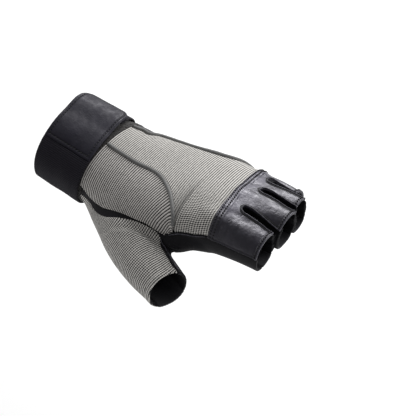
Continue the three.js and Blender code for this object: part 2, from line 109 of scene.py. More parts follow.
camera_data = bpy.data.cameras.new("camera")
camera_data.sensor_width = SENSOR
camera_data.lens = FOCAL_PIXELS * SENSOR / FRAME_PIXELS
camera_data.shift_x = (FRAME_PIXELS / 2 - TARGET_PIXEL[0]) / FRAME_PIXELS
camera_data.shift_y = (TARGET_PIXEL[1] - FRAME_PIXELS / 2) / FRAME_PIXELS
camera = in_scene("camera", camera_data)
bpy.context.scene.camera = camera
toward, level = direction(AZIMUTH, ELEVATION), direction(AZIMUTH + 90, 0)
upward = toward.cross(level)
roll = math.radians(ROLL)
right = level * math.cos(roll) + upward * math.sin(roll)
top = upward * math.cos(roll) - level * math.sin(roll)
turned = Matrix((right, top, toward)).transposed().to_4x4()
camera.matrix_world = Matrix.Translation(TARGET + toward * DISTANCE) @ turned

for name, azimuth, elevation, power in LAMPS:
    lamp = bpy.data.lights.new(name, "AREA")
    lamp.shape = "SQUARE"
    lamp.size = LAMP_SIZE
    lamp.energy = power
    way = direction(azimuth, elevation)
    made = in_scene(name, lamp)
    made.location = TARGET + way * LAMP_DISTANCE
    made.rotation_mode = "QUATERNION"
    made.rotation_quaternion = way.to_track_quat("Z", "Y")

world = bpy.data.worlds.new("studio")
bpy.context.scene.world = world
world.use_nodes = True
sky = world.node_tree.nodes["Background"]
sky.inputs["Color"].default_value = (1, 1, 1, 1)
sky.inputs["Strength"].default_value = SKY_STRENGTH
bpy.context.scene.view_settings.view_transform = "Standard"

floor_shape = bmesh.new()
bmesh.ops.create_grid(floor_shape, x_segments=1, y_segments=1, size=FLOOR_SIZE)
bmesh.ops.translate(floor_shape, verts=floor_shape.verts, vec=(0, 0, -FLOOR_DROP))
floor_mesh = mesh_of("floor", floor_shape)
floor_paint = bpy.data.materials.new("floor_paint")
floor_paint.use_nodes = True
floor_skin = floor_paint.node_tree.nodes["Principled BSDF"]
floor_skin.inputs["Base Color"].default_value = FLOOR_WHITE
floor_skin.inputs["Roughness"].default_value = FLOOR_ROUGHNESS
floor_mesh.materials.append(floor_paint)
in_scene("floor", floor_mesh)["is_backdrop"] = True

# The worn form
# Every panel is cut to lie on the glove's worn form: its broad body, a thumb, the web between thumb
# and index finger and four finger stubs, joined and smoothed. The form is taken away in the end.
# Tables are in millimetres and degrees: round a section, 0 is the thumb side and 90 the back.
BODY = (  # y, x, z, pitch, roll, half sizes: thumb side, little side, back, palm; power
    (0, 0, 0, -6, -8, 27.5, 29.5, 21.3, 21.5, 2.2),
    (33, 0, -4, -6, -8, 29.5, 30, 20.4, 22.8, 2.2),
    (42, 0, -4.5, -3, -7, 31, 31, 20, 22, 2.2),
    (55, 0, -4, 2, -4, 33, 31, 19, 22, 2.2),
    (75, -1, -2, 6, 0, 37, 33, 18, 21, 2.3),
    (95, -2, 1, 6, 4, 39, 35, 17, 19, 2.4),
    (113, -2, 3, 3, 10, 39, 36, 15.5, 18, 2.4),
    (125, -2, 4, 0, 11.5, 36, 36, 14.5, 11, 2.4),
    (132, -2, 4, 0, 11.5, 31, 33, 13.5, 7, 2.4),
)
THUMB = (  # t, x, y, z, half width, half depth
    (-0.4, 12, 36, -13.5, 13, 12),
    (0, 24, 56, -17, 15, 15),
    (0.5, 42, 82, -20, 15, 14.5),
    (1, 58, 112, -19.5, 12.5, 12.5),
)
THUMB_LENGTH = 68
WEB = (  # t, x, y, z, radius
    (0, 28, 86, -14, 8),
    (0.4, 31.5, 101, -7.5, 7.6),
    (0.7, 29.5, 110, -1.5, 8.2),
    (1, 26, 121, 0, 8.5),
)
FINGERS = {  # knuckle, opening, half width and depth at each, root's rise, opening's lean and slant
    "index": ((23.8, 120, 6), (25.1, 153.6, 6.1), (12, 15), (11.1, 10.9), 0, -0.5, 0),
    "middle": ((4.6, 123, 7), (5, 156, 8), (12, 14), (10.6, 11.5), 0, -5, -3.5),
    "ring": ((-14.3, 123, 1.3), (-13.4, 154.9, 4.7), (11, 13), (9.6, 10.5), 2, -2.5, 0),
    "little": ((-27.6, 116, -3.8), (-28.6, 146, -4.1), (10, 12), (8.3, 10.5), 6.5, 2.5, -11),
}
FINGER_POWER = 2.2
FINGER_BOW = 1
STALL_ROOT = -0.9
ROOT_TAPER = 0.6
FORM_SIDES = 96
FORM_ROWS = 60
FORM_VOXEL = 1.0
FORM_SMOOTHING = 9


def mix(a, b, k):
    return a + (b - a) * k


def unit(vectors):
    return vectors / np.maximum(np.linalg.norm(vectors, axis=-1, keepdims=True), 1e-9)


def along_table(rows, at):
    """A table's row at a place between its rows, on a curve whose slope follows its neighbours."""
    rows = np.array(rows, float)
    key, values = rows[:, 0], rows[:, 1:]
    at = np.clip(at, key[0], key[-1])
    last = len(key) - 1
    i = np.clip(np.searchsorted(key, at), 1, last)
    low, high = np.maximum(i - 2, 0), np.minimum(i + 1, last)
    span = (key[i] - key[i - 1])[..., None]
    before = (values[i] - values[low]) / (key[i] - key[low])[..., None] * span
    after = (values[high] - values[i - 1]) / (key[high] - key[i - 1])[..., None] * span
    k = (at - key[i - 1])[..., None] / span
    start, end = values[i - 1], values[i]
    bend = 2 * (start - end) + before + after
    return start + k * (before + k * (3 * (end - start) - 2 * before - after + k * bend))


def section(centre, along, roll, halves, power):
    """A section's centre, its directions to the thumb side and to the back, and its half sizes."""
    flat = unit(np.cross(along, (0.0, 0.0, 1.0)))
    turn = -np.radians(roll)[..., None]
    side = flat * np.cos(turn) + np.cross(along, flat) * np.sin(turn)
    return centre, side, np.cross(side, along), halves, power


def body_section(y):
    y = np.asarray(y, float)
    row = along_table(BODY, y)
    pitch = np.radians(row[..., 2])
    along = np.stack((np.zeros_like(pitch), np.cos(pitch), np.sin(pitch)), -1)
    centre = np.stack((row[..., 0], y, row[..., 1]), -1)
    return section(centre, along, row[..., 3], row[..., 4:8], row[..., 8])


def middle_line(rows, t):
    t = np.asarray(t, float)
    near = np.clip(t, rows[0][0] + 0.02, 0.98)
    along = unit(along_table(rows, near + 0.02)[..., :3] - along_table(rows, near - 0.02)[..., :3])
    return along_table(rows, t)[..., :3], along


def tube_section(centre, along, width, depth, power):
    """A section that isn't rolled, and is as wide to one side as to the other."""
    halves = np.stack((width, width, depth, depth), -1)
    return section(centre, along, np.zeros_like(width), halves, np.full_like(width, power))


def thumb_section(t):
    t = np.asarray(t, float)
    centre, along = middle_line(THUMB, t)
    centre = centre + along * (np.maximum(t - 1, 0) * THUMB_LENGTH)[..., None]
    width, depth = np.moveaxis(along_table(THUMB, t)[..., 3:], -1, 0)
    return tube_section(centre, along, width, depth, FINGER_POWER)


def web_section(t):
    radius = along_table(WEB, t)[..., 3]
    return tube_section(*middle_line(WEB, t), radius, radius, 2.0)


def finger_section(name, t):
    t = np.asarray(t, float)
    base, end, root, tip, rise, lean, slant = FINGERS[name]
    run = np.array(end, float) - base
    centre = np.array(base, float) + run * t[..., None]
    centre[..., 2] += np.where(t > 0, FINGER_BOW * 4 * t * (1 - t), -rise * t)
    taper = 1 + ROOT_TAPER * np.minimum(t, 0)
    width, depth = (taper * mix(low, high, t) for low, high in zip(root, tip))
    along = np.broadcast_to(unit(run), centre.shape)
    centre, side, up, halves, power = tube_section(centre, along, width, depth, FINGER_POWER)
    side = side + along * np.tan(np.radians(slant * t))[..., None]
    up = up - along * np.tan(np.radians(lean * t))[..., None]
    return centre, unit(side), unit(up), halves, power


def outline(at, angle, offset=0.0):
    """A point of a section's rounded outline, at an angle in degrees from the thumb side."""
    centre, side, up, halves, power = at
    c, s = np.cos(np.radians(angle)), np.sin(np.radians(angle))
    across = np.where(c > 0, halves[..., 0], halves[..., 1]) + offset
    height = np.where(s > 0, halves[..., 2], halves[..., 3]) + offset
    x = across * np.sign(c) * np.abs(c) ** (2 / power)
    z = height * np.sign(s) * np.abs(s) ** (2 / power)
    return centre + side * x[..., None] + up * z[..., None]


def add_form(shape, section_at, start, end):
    """A closed loft through sections: a sphere whose rings are moved onto them."""
    made = bmesh.ops.create_uvsphere(shape, u_segments=FORM_SIDES, v_segments=FORM_ROWS + 1, radius=1)
    sphere = np.array([v.co for v in made["verts"]])
    ring = np.arccos(np.clip(sphere[:, 2], -1, 1)) / math.pi * (FORM_ROWS + 1)
    share = (np.clip(np.round(ring), 1, FORM_ROWS) - 1) / (FORM_ROWS - 1)
    at = section_at(mix(start, end, share))
    points = outline(at, np.degrees(np.arctan2(sphere[:, 1], sphere[:, 0])))
    pole = np.abs(sphere[:, 2]) > 0.99999
    points[pole] = at[0][pole]
    for v, point in zip(made["verts"], points):
        v.co = point


form_shape = bmesh.new()
add_form(form_shape, body_section, -8, 132)
add_form(form_shape, thumb_section, -0.4, 1.15)
add_form(form_shape, web_section, 0, 1)
for finger in FINGERS:
    add_form(form_shape, lambda t, name=finger: finger_section(name, t), STALL_ROOT, 1.3)
form = in_scene("worn_form", mesh_of("worn_form", form_shape))
remesh = form.modifiers.new("join", "REMESH")
remesh.mode = "VOXEL"
remesh.voxel_size = FORM_VOXEL
smoothing = form.modifiers.new("smooth", "SMOOTH")
smoothing.factor = 0.5
smoothing.iterations = FORM_SMOOTHING
finer = form.modifiers.new("finer", "SUBSURF")
finer.levels = finer.render_levels = 1
bpy.context.view_layer.update()
former = BVHTree.FromObject(form, bpy.context.evaluated_depsgraph_get())
bpy.data.objects.remove(form)

# Cuff band
# The glove's own wristband: a black band faced with brushed loops, which the strap's hooks grip. It
# shows as a narrow fuzzy edge between the strap and the grey knit, and inside the wrist opening.
WALL = 1.5
CUFF_EDGE = (36.9, -0.14)  # its y in the middle, and its slope to the thumb side
CUFF_START = 1.5
CUFF_COVERED = 0.6
CUFF_COARSE = (25, 121)
CUFF_FINE = (97, 421)
CUFF_MAP = (190, 38)
CUFF_FUZZ = 0.3
CUFF_LIP = 0.45
CUFF_ROUND = 0.9


def step(low, high, value):
    """0 below low, 1 above high, and a smooth rise between them."""
    k = np.clip((value - low) / (high - low), 0, 1)
    return k * k * (3 - 2 * k)


def place_on_edge(angle, at, slope, start):
    """How far along the glove a ring of cloth lies at an angle, when seen from above it is a line."""
    y = np.full(np.broadcast(angle, at).shape, float(start)) + 0 * angle
    for _ in range(6):
        point = outline(body_section(y), angle)
        y = y + at + slope * point[..., 0] - point[..., 1]
    return y


def spline_weights(count, fine):
    """What each of count points weighs at fine places along a smooth curve past them."""
    at = np.linspace(0, count - 1, fine)
    i = np.clip(np.floor(at), 0, count - 2).astype(int)
    k = at - i
    basis = (
        (1 - k) ** 3 / 6,
        (3 * k**3 - 6 * k**2 + 4) / 6,
        (-3 * k**3 + 3 * k**2 + 3 * k + 1) / 6,
        k**3 / 6,
    )
    weights = np.zeros((fine, count + 2))
    for j, value in enumerate(basis):
        weights[np.arange(fine), i + j] += value
    weights[:, 1] += 2 * weights[:, 0]
    weights[:, 2] -= weights[:, 0]
    weights[:, -2] += 2 * weights[:, -1]
    weights[:, -3] -= weights[:, -1]
    return weights[:, 1:-1]


def refine(values, rows, columns):
    """The same sheet with more rows and columns, smoothly between the first ones."""
    down, across = spline_weights(values.shape[0], rows), spline_weights(values.shape[1], columns)
    return np.einsum("ai,bj,ijk->abk", down, across, values)


def normals_of(points):
    return unit(np.cross(np.gradient(points, axis=1), np.gradient(points, axis=0)))


def ways_out(points, centre):
    """The way out of a sheet at each of its points, away from a centre."""
    out = normals_of(points)
    return out if np.sum(out * (points - centre)) > 0 else -out


def cloud(points, size, seed=0.0, detail=3):
    """Smooth uneven relief from -1 to 1, with patches of about that size."""
    flat = points.reshape(-1, 3) / size + seed
    made = [noise.fractal(Vector(p), 1.0, 2.0, detail) for p in flat]
    return np.array(made).reshape(points.shape[:-1])


def finished(name, mesh, thickness=0.0, weld=False):
    """A smooth piece's object, welded where its edges meet, and with an inner wall if it is thick."""
    mesh.polygons.foreach_set("use_smooth", [True] * len(mesh.polygons))
    mesh.update()
    made = in_scene(name, mesh)
    if weld:
        shape = bmesh.new()
        shape.from_mesh(mesh)
        bmesh.ops.remove_doubles(shape, verts=shape.verts, dist=0.05 * MM)
        shape.to_mesh(mesh)
        shape.free()
    if thickness:
        wall = made.modifiers.new("wall", "SOLIDIFY")
        wall.thickness = thickness * MM
        wall.offset = -1
        wall.use_rim = True
    return made


def sheet(name, points, uv, out, thickness=0.0, weld=False):
    """A grid of cloth laid on points, facing out, with its own map: a mesh object in metres."""
    if np.sum(normals_of(points) * out) < 0:
        points, uv = points[:, ::-1], uv[:, ::-1]
    rows, columns = points.shape[:2]
    shape = bmesh.new()
    bmesh.ops.create_grid(shape, x_segments=columns - 1, y_segments=rows - 1, size=1)
    mesh = mesh_of(name, shape)
    flat = np.zeros(len(mesh.vertices) * 3)
    mesh.vertices.foreach_get("co", flat)
    flat = flat.reshape(-1, 3)
    i = np.round((flat[:, 0] + 1) / 2 * (columns - 1)).astype(int)
    j = np.round((flat[:, 1] + 1) / 2 * (rows - 1)).astype(int)
    mesh.vertices.foreach_set("co", (points[j, i] * MM).ravel())
    corner = np.zeros(len(mesh.loops), int)
    mesh.loops.foreach_get("vertex_index", corner)
    layer = mesh.uv_layers.new(name="cloth")
    layer.data.foreach_set("uv", uv[j, i][corner].ravel())
    return finished(name, mesh, thickness, weld)


def place_piece(made, slot, material, *nodes):
    """Gives a piece its finish and its place in the glove."""
    made.data.materials.clear()
    made.data.materials.append(material)
    if nodes:
        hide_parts(*nodes)
    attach(made, "root")


class Shader:
    """A material's nodes, added one at a time and joined as they are made."""

    def __init__(self, name, **sockets):
        self.material = bpy.data.materials.new(name)
        self.material.use_nodes = True
        self.tree = self.material.node_tree
        self.skin = self.tree.nodes["Principled BSDF"]
        for socket, value in sockets.items():
            self.skin.inputs[socket.replace("_", " ").title().replace("Ior", "IOR")].default_value = value

    def add(self, kind, inputs=(), output=0, **settings):
        made = self.tree.nodes.new("ShaderNode" + kind)
        for key, value in settings.items():
            setattr(made, key, value)
        for socket, value in dict(inputs).items():
            self.join(made.inputs[socket], value)
        return made.outputs[output]

    def join(self, socket, value):
        if isinstance(value, bpy.types.NodeSocket):
            self.tree.links.new(value, socket)
        else:
            socket.default_value = value

    def place(self):
        """The place on the object."""
        return self.add("TexCoord", output=3)

    def cloth_map(self):
        """The place in the cloth's own map."""
        return self.add("UVMap", uv_map="cloth")

    def split(self, place):
        made = self.tree.nodes.new("ShaderNodeSeparateXYZ")
        self.join(made.inputs[0], place)
        return made.outputs

    def math(self, operation, a, b=0.0):
        return self.add("Math", {0: a, 1: b}, operation=operation)

    def wave(self, value, pitch):
        return self.math("SINE", self.math("MULTIPLY", value, 2 * math.pi / pitch))

    def noise(self, place, scale, detail=2.0, roughness=0.5):
        inputs = {"Vector": place, "Scale": scale, "Detail": detail, "Roughness": roughness}
        return self.add("TexNoise", inputs)

    def blend(self, factor, a, b):
        made = self.tree.nodes.new("ShaderNodeMix")
        made.data_type = "RGBA"
        self.join(made.inputs["Factor"], factor)
        self.join(made.inputs["A"], a)
        self.join(made.inputs["B"], b)
        return made.outputs["Result"]

    def fit(self, value, low, high, to_low=0.0, to_high=1.0):
        inputs = {"Value": value, "From Min": low, "From Max": high, "To Min": to_low, "To Max": to_high}
        return self.add("MapRange", inputs)

    def bump(self, height, distance, strength=1.0, normal=None):
        inputs = {"Height": height, "Distance": distance * MM, "Strength": strength}
        if normal is not None:
            inputs["Normal"] = normal
        return self.add("Bump", inputs)

    def finish(self, colour, normal=None, roughness=None):
        """Joins what varies over the surface to it, and gives the material."""
        for socket, value in (("Base Color", colour), ("Normal", normal), ("Roughness", roughness)):
            if value is not None:
                self.join(self.skin.inputs[socket], value)
        return self.material


def paint(red, green, blue):
    """A linear colour from the usual 0 to 255 numbers."""
    return tuple(((value / 255 + 0.055) / 1.055) ** 2.4 for value in (red, green, blue)) + (1.0,)


def mottled(name, grain, shown, tones, patches=None, depth=None, **sockets):
    """A finish of two tones in fine grain, with worn patches and bumps as deep as the depth in mm."""
    made = Shader(name, **sockets)
    where = made.place()
    fine = made.noise(where, *grain)
    colour = made.blend(made.fit(fine, *shown), *tones)
    if patches:
        size, spread, tone = patches
        colour = made.blend(made.fit(made.noise(where, *size), *spread), colour, tone)
    return made.finish(colour, made.bump(fine, depth) if depth else None)


loop_cloth = mottled(
    "loop_cloth", (900.0, 4.0, 0.7), (0.42, 0.62), (paint(2, 2, 4), paint(42, 38, 37)),
    ((60.0,), (0.45, 0.75, 0.0, 0.35), paint(46, 36, 32)), 0.5,
    roughness=0.95, sheen_weight=0.25, sheen_roughness=0.5,
)
angles = np.linspace(-180, 180, CUFF_COARSE[1])[None, :]
edge = place_on_edge(angles, CUFF_EDGE[0] + CUFF_COVERED, CUFF_EDGE[1], CUFF_EDGE[0])
ys = mix(CUFF_START, edge, np.linspace(0, 1, CUFF_COARSE[0])[:, None])
cuff = refine(outline(body_section(ys), np.broadcast_to(angles, ys.shape)), *CUFF_FINE)
lip = np.linspace(0, 1, CUFF_FINE[0])[:, None]
relief = CUFF_FUZZ * cloud(cuff, 1.3, 3.0) + CUFF_LIP * step(0.8, 0.9, lip)
relief = relief - CUFF_ROUND * step(0.965, 1, lip) ** 2
out = ways_out(cuff, body_section(CUFF_EDGE[0] / 2)[0])
girth = np.linspace(0, CUFF_MAP[0], CUFF_FINE[1])[None, :]
uv = np.stack(np.broadcast_arrays(girth, CUFF_MAP[1] * lip), -1)
cuff_band = sheet("wristband", cuff + out * relief[..., None], uv, out, WALL, weld=True)
place_piece(cuff_band, "loop_cloth", loop_cloth, "cuff_band")

# Wrist strap
# A wide black elastic strap, finely ribbed, sewn to the leather tab on the thumb side. It goes once
# round the palm side of the wrist and ends under the tab.
STRAP_WIDTH = 32.5
STRAP_THICKNESS = 1.7
STRAP_CLEARANCE = 0.4
STRAP_ANGLES = (-245, 55)
STRAP_GRID = (61, 421)
STRAP_RIB = 1.15
STRAP_THREAD = 0.62
STRAP_WALL = 0.9
STRAP_ROUND = 0.55
STRAP_TUCK = 1.3
STRAP_WAVES = 0.22
RIB_HEIGHT = 0.05


def lengths(points, axis):
    """How far each point lies along its path, or along its row or column of a sheet."""
    steps = np.linalg.norm(np.diff(points, axis=axis), axis=-1)
    return np.concatenate((np.zeros_like(steps.take([0], axis)), np.cumsum(steps, axis)), axis)


made = Shader("black_elastic", roughness=0.85, specular_ior_level=0.3, sheen_weight=0.03)
across, down, _ = made.split(made.cloth_map())
rib, thread = made.wave(down, STRAP_RIB), made.wave(across, STRAP_THREAD)
knitted = made.math("ADD", made.fit(rib, -1.0, 1.0, 0.0, 0.7), made.fit(thread, -1.0, 1.0, 0.0, 0.3))
elastic = made.finish(made.blend(knitted, paint(0, 0, 3), paint(33, 30, 43)), made.bump(knitted, 0.22))

turn = np.linspace(*STRAP_ANGLES, STRAP_GRID[1])[None, :]
across = np.linspace(-1, 1, STRAP_GRID[0])[:, None]
rounding = STRAP_ROUND * np.clip((np.abs(across) - 0.94) / 0.06, 0, 1) ** 2.5
tuck = STRAP_TUCK * step(STRAP_ANGLES[1] - 4.0, STRAP_ANGLES[1] - 1.5, turn)
ys = STRAP_WIDTH / 2 * (1 + across) + 0 * turn
at = body_section(ys)
points = outline(at, np.broadcast_to(turn, ys.shape), STRAP_CLEARANCE + STRAP_THICKNESS - rounding - tuck)
down = lengths(points[STRAP_GRID[0] // 2], 0)[None, :] + 0 * ys
relief = RIB_HEIGHT * np.sin(down * 2 * np.pi / STRAP_RIB)
relief = relief + STRAP_WAVES * np.sin(down / 9.0 + ys / 7.0) * np.sin(ys / 5.0)
out = unit(points - at[0])
strap = sheet("elastic_strap", points + out * relief[..., None], np.stack((ys, down), -1), out, STRAP_WALL)
place_piece(strap, "black_elastic", elastic, "wrist_strap")

# Strap tab
# The strap's end is a tab of smooth dark leather, folded over a stiffener and stitched all round. It
# climbs over the elastic's end, and its far corners are rounded.
TAB_THICKNESS = 1.8
TAB_WALL = TAB_THICKNESS - 0.35
TAB_ANGLES = (52, 139)
TAB_CLIMB = (92, 116)
TAB_LIFT = STRAP_THICKNESS + 0.3
TAB_CORNER = 8.5
TAB_END_RADIUS = 28
TAB_PER_DEGREE = 0.42
TAB_GRID = (97, 261)
TAB_CROWDING = (1.25, 1.35)  # how much closer the grid's lines are at the sides and at the end
TAB_DROP = (0.75, 1.1)  # of a turned edge: its depth and its reach
STITCH_INSET = 2.3
STITCH_GROOVE = (0.38, STITCH_INSET, 0.42)  # of a crease: its depth, its way from the edge, its width


def smooth_leather(name, dark, light, worn, roughness, shine, creasing, knuckle_highlight=None):
    """Fine-grained dark leather with soft worn patches, and maybe a painted highlight along its first edge.
    """
    made = Shader(name, specular_ior_level=shine, specular_tint=(0.93, 0.91, 1.0, 1.0))
    where = made.place()
    grain = made.add("TexVoronoi", {"Vector": where, "Scale": 900.0})
    fine = made.noise(where, 1500.0, 3.0, 0.6)
    blotch = made.noise(where, 70.0, 3.0, 0.55)
    wear = made.noise(where, 230.0, 3.0, 0.58)
    colour = made.blend(made.fit(blotch, 0.35, 0.7), dark, light)
    colour = made.blend(made.fit(wear, 0.5, 0.8, 0.0, 0.5), colour, worn)
    # A painted highlight over the knuckles: pale near the first edge, gone by 17 mm from it and past x 20 to
    # 30 mm towards the thumb, broken up by the wear noise.
    if knuckle_highlight:
        from_edge, to_thumb = made.split(made.cloth_map())[1], made.split(where)[0]
        pale = made.math("MULTIPLY", made.fit(from_edge, 17.0, 5.0), made.fit(to_thumb, 0.03, 0.02))
        colour = made.blend(made.math("MULTIPLY", pale, made.fit(wear, 0.3, 0.65, 0.3, 0.75)), colour, knuckle_highlight)
    polish = made.fit(wear, 0.35, 0.65, roughness - 0.08, roughness + 0.12)
    pores = made.bump(made.math("ADD", made.math("MULTIPLY", grain, 0.8), fine), 0.08, 0.6)
    return made.finish(colour, made.bump(wear, creasing, 0.5, pores), polish)


def on_tab(turn, side):
    """A point of the tab at a turn round the wrist and a way from its middle, and the way out."""
    at = body_section(STRAP_WIDTH / 2 + side)
    points = outline(at, turn, STRAP_CLEARANCE + TAB_THICKNESS + step(*TAB_CLIMB, turn) * TAB_LIFT)
    return points, points - at[0]


def edge_drop(distance, depth, reach):
    """How far a turned edge rolls away within its reach."""
    return depth * (1 - np.clip(distance / reach, 0, 1)) ** 2


def crease(distance, depth, at, width):
    """A soft crease or ridge along the line that lies at a distance from an edge."""
    return depth * np.exp(-(((distance - at) / width) ** 2))


tab_leather = smooth_leather(
    "tab_leather", paint(20, 19, 29), paint(27, 26, 37), paint(32, 31, 42), 0.5, 0.3, 0.12
)
turn = mix(*TAB_ANGLES, 1 - (1 - np.linspace(0, 1, TAB_GRID[1])) ** TAB_CROWDING[1])
to_end = np.radians(TAB_ANGLES[1] - turn) * TAB_END_RADIUS
into = np.clip(TAB_CORNER - to_end, 0, TAB_CORNER)
half = STRAP_WIDTH / 2 - TAB_CORNER + np.sqrt(TAB_CORNER**2 - into**2)
share = np.linspace(-1, 1, TAB_GRID[0])[:, None]
share = np.sign(share) * (1 - (1 - np.abs(share)) ** TAB_CROWDING[0])
turn = np.broadcast_to(turn, TAB_GRID)
points, out = on_tab(turn, share * half)
out = unit(out)
to_edge = np.minimum(np.minimum((1 - np.abs(share)) * half, to_end), (turn - TAB_ANGLES[0]) * TAB_PER_DEGREE)
relief = 0.16 * cloud(points, 16.0, 7.0) + 0.02 * cloud(points, 4.0, 9.0)
relief = relief - edge_drop(to_edge, *TAB_DROP) - crease(to_edge, *STITCH_GROOVE)
uv = np.stack((STRAP_WIDTH / 2 + share * half, turn * TAB_PER_DEGREE), -1)
tab = sheet("leather_tab", points + out * relief[..., None], uv, out, TAB_WALL)
place_piece(tab, "dark_leather", tab_leather, "strap_tab")

thread_black = mottled(
    "black_thread", (2500.0,), (0.0, 1.0), (paint(3, 3, 5), paint(12, 11, 16)), roughness=0.6
)


def read_off(at, places, rows):
    """What rows, each at its place, come to at other places between them."""
    return np.stack([np.interp(at, places, values) for values in np.transpose(rows)], -1)


def resample(path, ways, pitch):
    """Evenly spaced places along a path, with the path's direction and the way out there."""
    length = lengths(path, 0)
    count = max(int(length[-1] / pitch), 2)
    at = (np.arange(count) + 0.5) * length[-1] / count
    spots, ahead, out = (read_off(at, length, rows) for rows in (path, np.gradient(path, axis=0), ways))
    ahead = unit(ahead)
    return spots, ahead, unit(out - ahead * np.sum(out * ahead, -1, keepdims=True))


def sew(name, rows, pitch, thread, lift, dash):
    """Rows of stitches along paths: a short bead of thread for each stitch."""
    shape = bmesh.new()
    for path, ways in rows:
        for spot, ahead, out in zip(*resample(path, ways, pitch)):
            axes = ahead * pitch * dash, np.cross(ahead, out) * thread, out * thread * 0.8
            place = np.stack((*axes, spot + out * lift), -1) * MM
            bead = Matrix(np.vstack((place, (0, 0, 0, 1))).tolist())
            bmesh.ops.create_uvsphere(shape, u_segments=6, v_segments=4, radius=1, matrix=bead)
    bmesh.ops.recalc_face_normals(shape, faces=shape.faces)
    place_piece(finished(name, mesh_of(name, shape)), "dark_leather", thread_black)


inner_corner = TAB_CORNER - STITCH_INSET
flat_half = STRAP_WIDTH / 2 - STITCH_INSET
straight_end = TAB_ANGLES[1] - math.degrees(TAB_CORNER / TAB_END_RADIUS)
straight = np.linspace(TAB_ANGLES[0] + STITCH_INSET / TAB_PER_DEGREE, straight_end, 60)
corner = np.radians(np.linspace(0, 90, 16)[1:])
turn = np.append(straight, straight_end + np.degrees(inner_corner * np.sin(corner) / TAB_END_RADIUS))
side = np.append(0 * straight - flat_half, inner_corner * (1 - np.cos(corner)) - flat_half)
turn = np.concatenate((turn, turn[::-1], turn[:1]))
side = np.concatenate((side, -side[::-1], side[:1]))
sew("tab_stitches", [on_tab(turn, side)], pitch=2.0, thread=0.26, lift=-0.18, dash=0.36)

# Back of the hand
# Light grey rib knit covers the back, from the cuff to the knuckles. Its ribs run across the glove,
# about 1.4 mm apart. A corded seam parts it from a panel of the same knit on the thumb side.
KNUCKLE_EDGE = (120.6, 0.05)  # its y in the middle, and its slope to the thumb side
THUMB_SIDE_SEAM = (  # y, angle
    (30, 17), (36, 10), (42, 1.5), (50, 1.2), (58, 2.8), (66, 2.3), (75, 0), (82.5, -1.8),
    (88.8, -8.5), (94.3, -17), (98.9, -11.5), (104, -6.2), (109, -5.2), (114, -6.5), (124, -3.5),
)
OUTER_SEAM = (
    (30, 127), (42, 127), (46, 129), (50, 127), (57, 138), (70, 132), (84, 126), (96, 126),
    (103, 134), (108, 150), (114, 168), (124, 178),
)
INNER_SEAM = (
    (33, 85.2), (50, 80.2), (61, 76.6), (72, 74.4), (80.6, 69.2), (89.6, 56), (95.2, 41.5), (99, 25),
    (100.7, 10), (101.3, -12),
)
SEAM_REACH = (30, 124)
RIBS = 64
RIB_SPREAD = 0.07
RIB_DEPTH = 0.26
LOOP_PITCH = 1.2
PURL_SPOT = (0.024, 0.108, 0.012)
CHANNEL = 0.75
STRIP_GAP = 0.1
PANEL_WALL = WALL - 0.2
SEAM_DROP = (0.5, 1.2)
BACK_MIDDLE = 80.0
BACK_END = 0.995
BACK_COARSE, BACK_FINE = (90, 40), (380, 126)
SIDE_COARSE, SIDE_FINE = (70, 30), (320, 100)
SIDE_RIB_TURN = 6
TIGHT_ENDS = ((-29, -23), (28, 22))
TIGHT_KNIT = (106, 119)


def rib_knit(name, groove, ridge_tone, sharpness, purl, spot=None):
    """Rib knit in its own map, across in millimetres and along in ribs. Its loops show most at a spot."""
    made = Shader(name, roughness=0.92, sheen_weight=0.08, sheen_roughness=0.5)
    across, along, _ = made.split(made.cloth_map())
    where = made.place()
    ridge = made.math("POWER", made.math("ABSOLUTE", made.wave(along, 2.0)), sharpness)
    shown = made.fit(made.noise(where, 55.0), 0.42, 0.62, 0.5 * purl, purl)
    if spot:
        away = made.add("VectorMath", {0: where, 1: spot}, output=1, operation="DISTANCE")
        shown = made.math("MAXIMUM", shown, made.fit(away, 0.026, 0.010, 0.0, 0.6))
    height = made.math("ADD", ridge, made.math("MULTIPLY", made.wave(across, LOOP_PITCH), shown))
    mottle = made.noise(where, 700.0, 3.0, 0.6)
    height = made.math("ADD", height, made.fit(mottle, 0.3, 0.7, -0.1, 0.1))
    # The groove tone is painted shade: the grooves between the ribs are coloured dark.
    colour = made.blend(made.fit(height, 0.3, 1.0), groove, ridge_tone)
    return made.finish(colour, made.bump(height, 0.2, 0.8))


# Side and thumb copies: black grooves, sharper ridges, stronger painted shade where light rakes them.
back_skin = rib_knit("grey_knit", paint(6, 6, 6), paint(222, 219, 214), 0.85, 0.1, PURL_SPOT)
side_skin = rib_knit("grey_knit_side", paint(0, 0, 0), paint(228, 224, 220), 1.15, 0.14)
thumb_skin = rib_knit("grey_knit_thumb", paint(0, 0, 0), paint(238, 235, 230), 1.25, 0.34)


def drape(origin, through, reach=8.0):
    """Points on the worn form, found from outside along lines from origin through a point."""
    ways = unit(through - origin)
    starts = through + ways * reach
    found = through.copy()
    for i in np.ndindex(through.shape[:-1]):
        hit = former.ray_cast(Vector(starts[i]), Vector(-ways[i]), 3 * reach)
        if hit[0] is not None:
            found[i] = hit[0]
    return found


def on_form(y, angle):
    at = body_section(y)
    return drape(at[0], outline(at, angle))


def share_along(points):
    """How far a point of the back lies from the cuff's edge to the knuckle edge, from 0 to 1."""
    x, y = points[..., 0], points[..., 1]
    start = CUFF_EDGE[0] + CUFF_EDGE[1] * x
    return (y - start) / (KNUCKLE_EDGE[0] + KNUCKLE_EDGE[1] * x - start)


def seam_route(rows):
    """A seam's y and angle at closely spaced places."""
    y = np.linspace(*SEAM_REACH, 120)
    return np.stack((y, along_table(rows, y)[:, 0]), -1)


def seam_angle(route):
    """The seam's angle round the glove, as a function of the share along the back."""
    shares = share_along(outline(body_section(route[:, 0]), route[:, 1]))
    order = np.argsort(shares)
    return lambda share: np.interp(share, shares[order], route[order, 1])


def rib_height(phase):
    """The relief of the ribs: broad ridges with narrow grooves between them."""
    return RIB_DEPTH * (np.sqrt(np.abs(np.sin(np.pi * phase))) - 0.75)


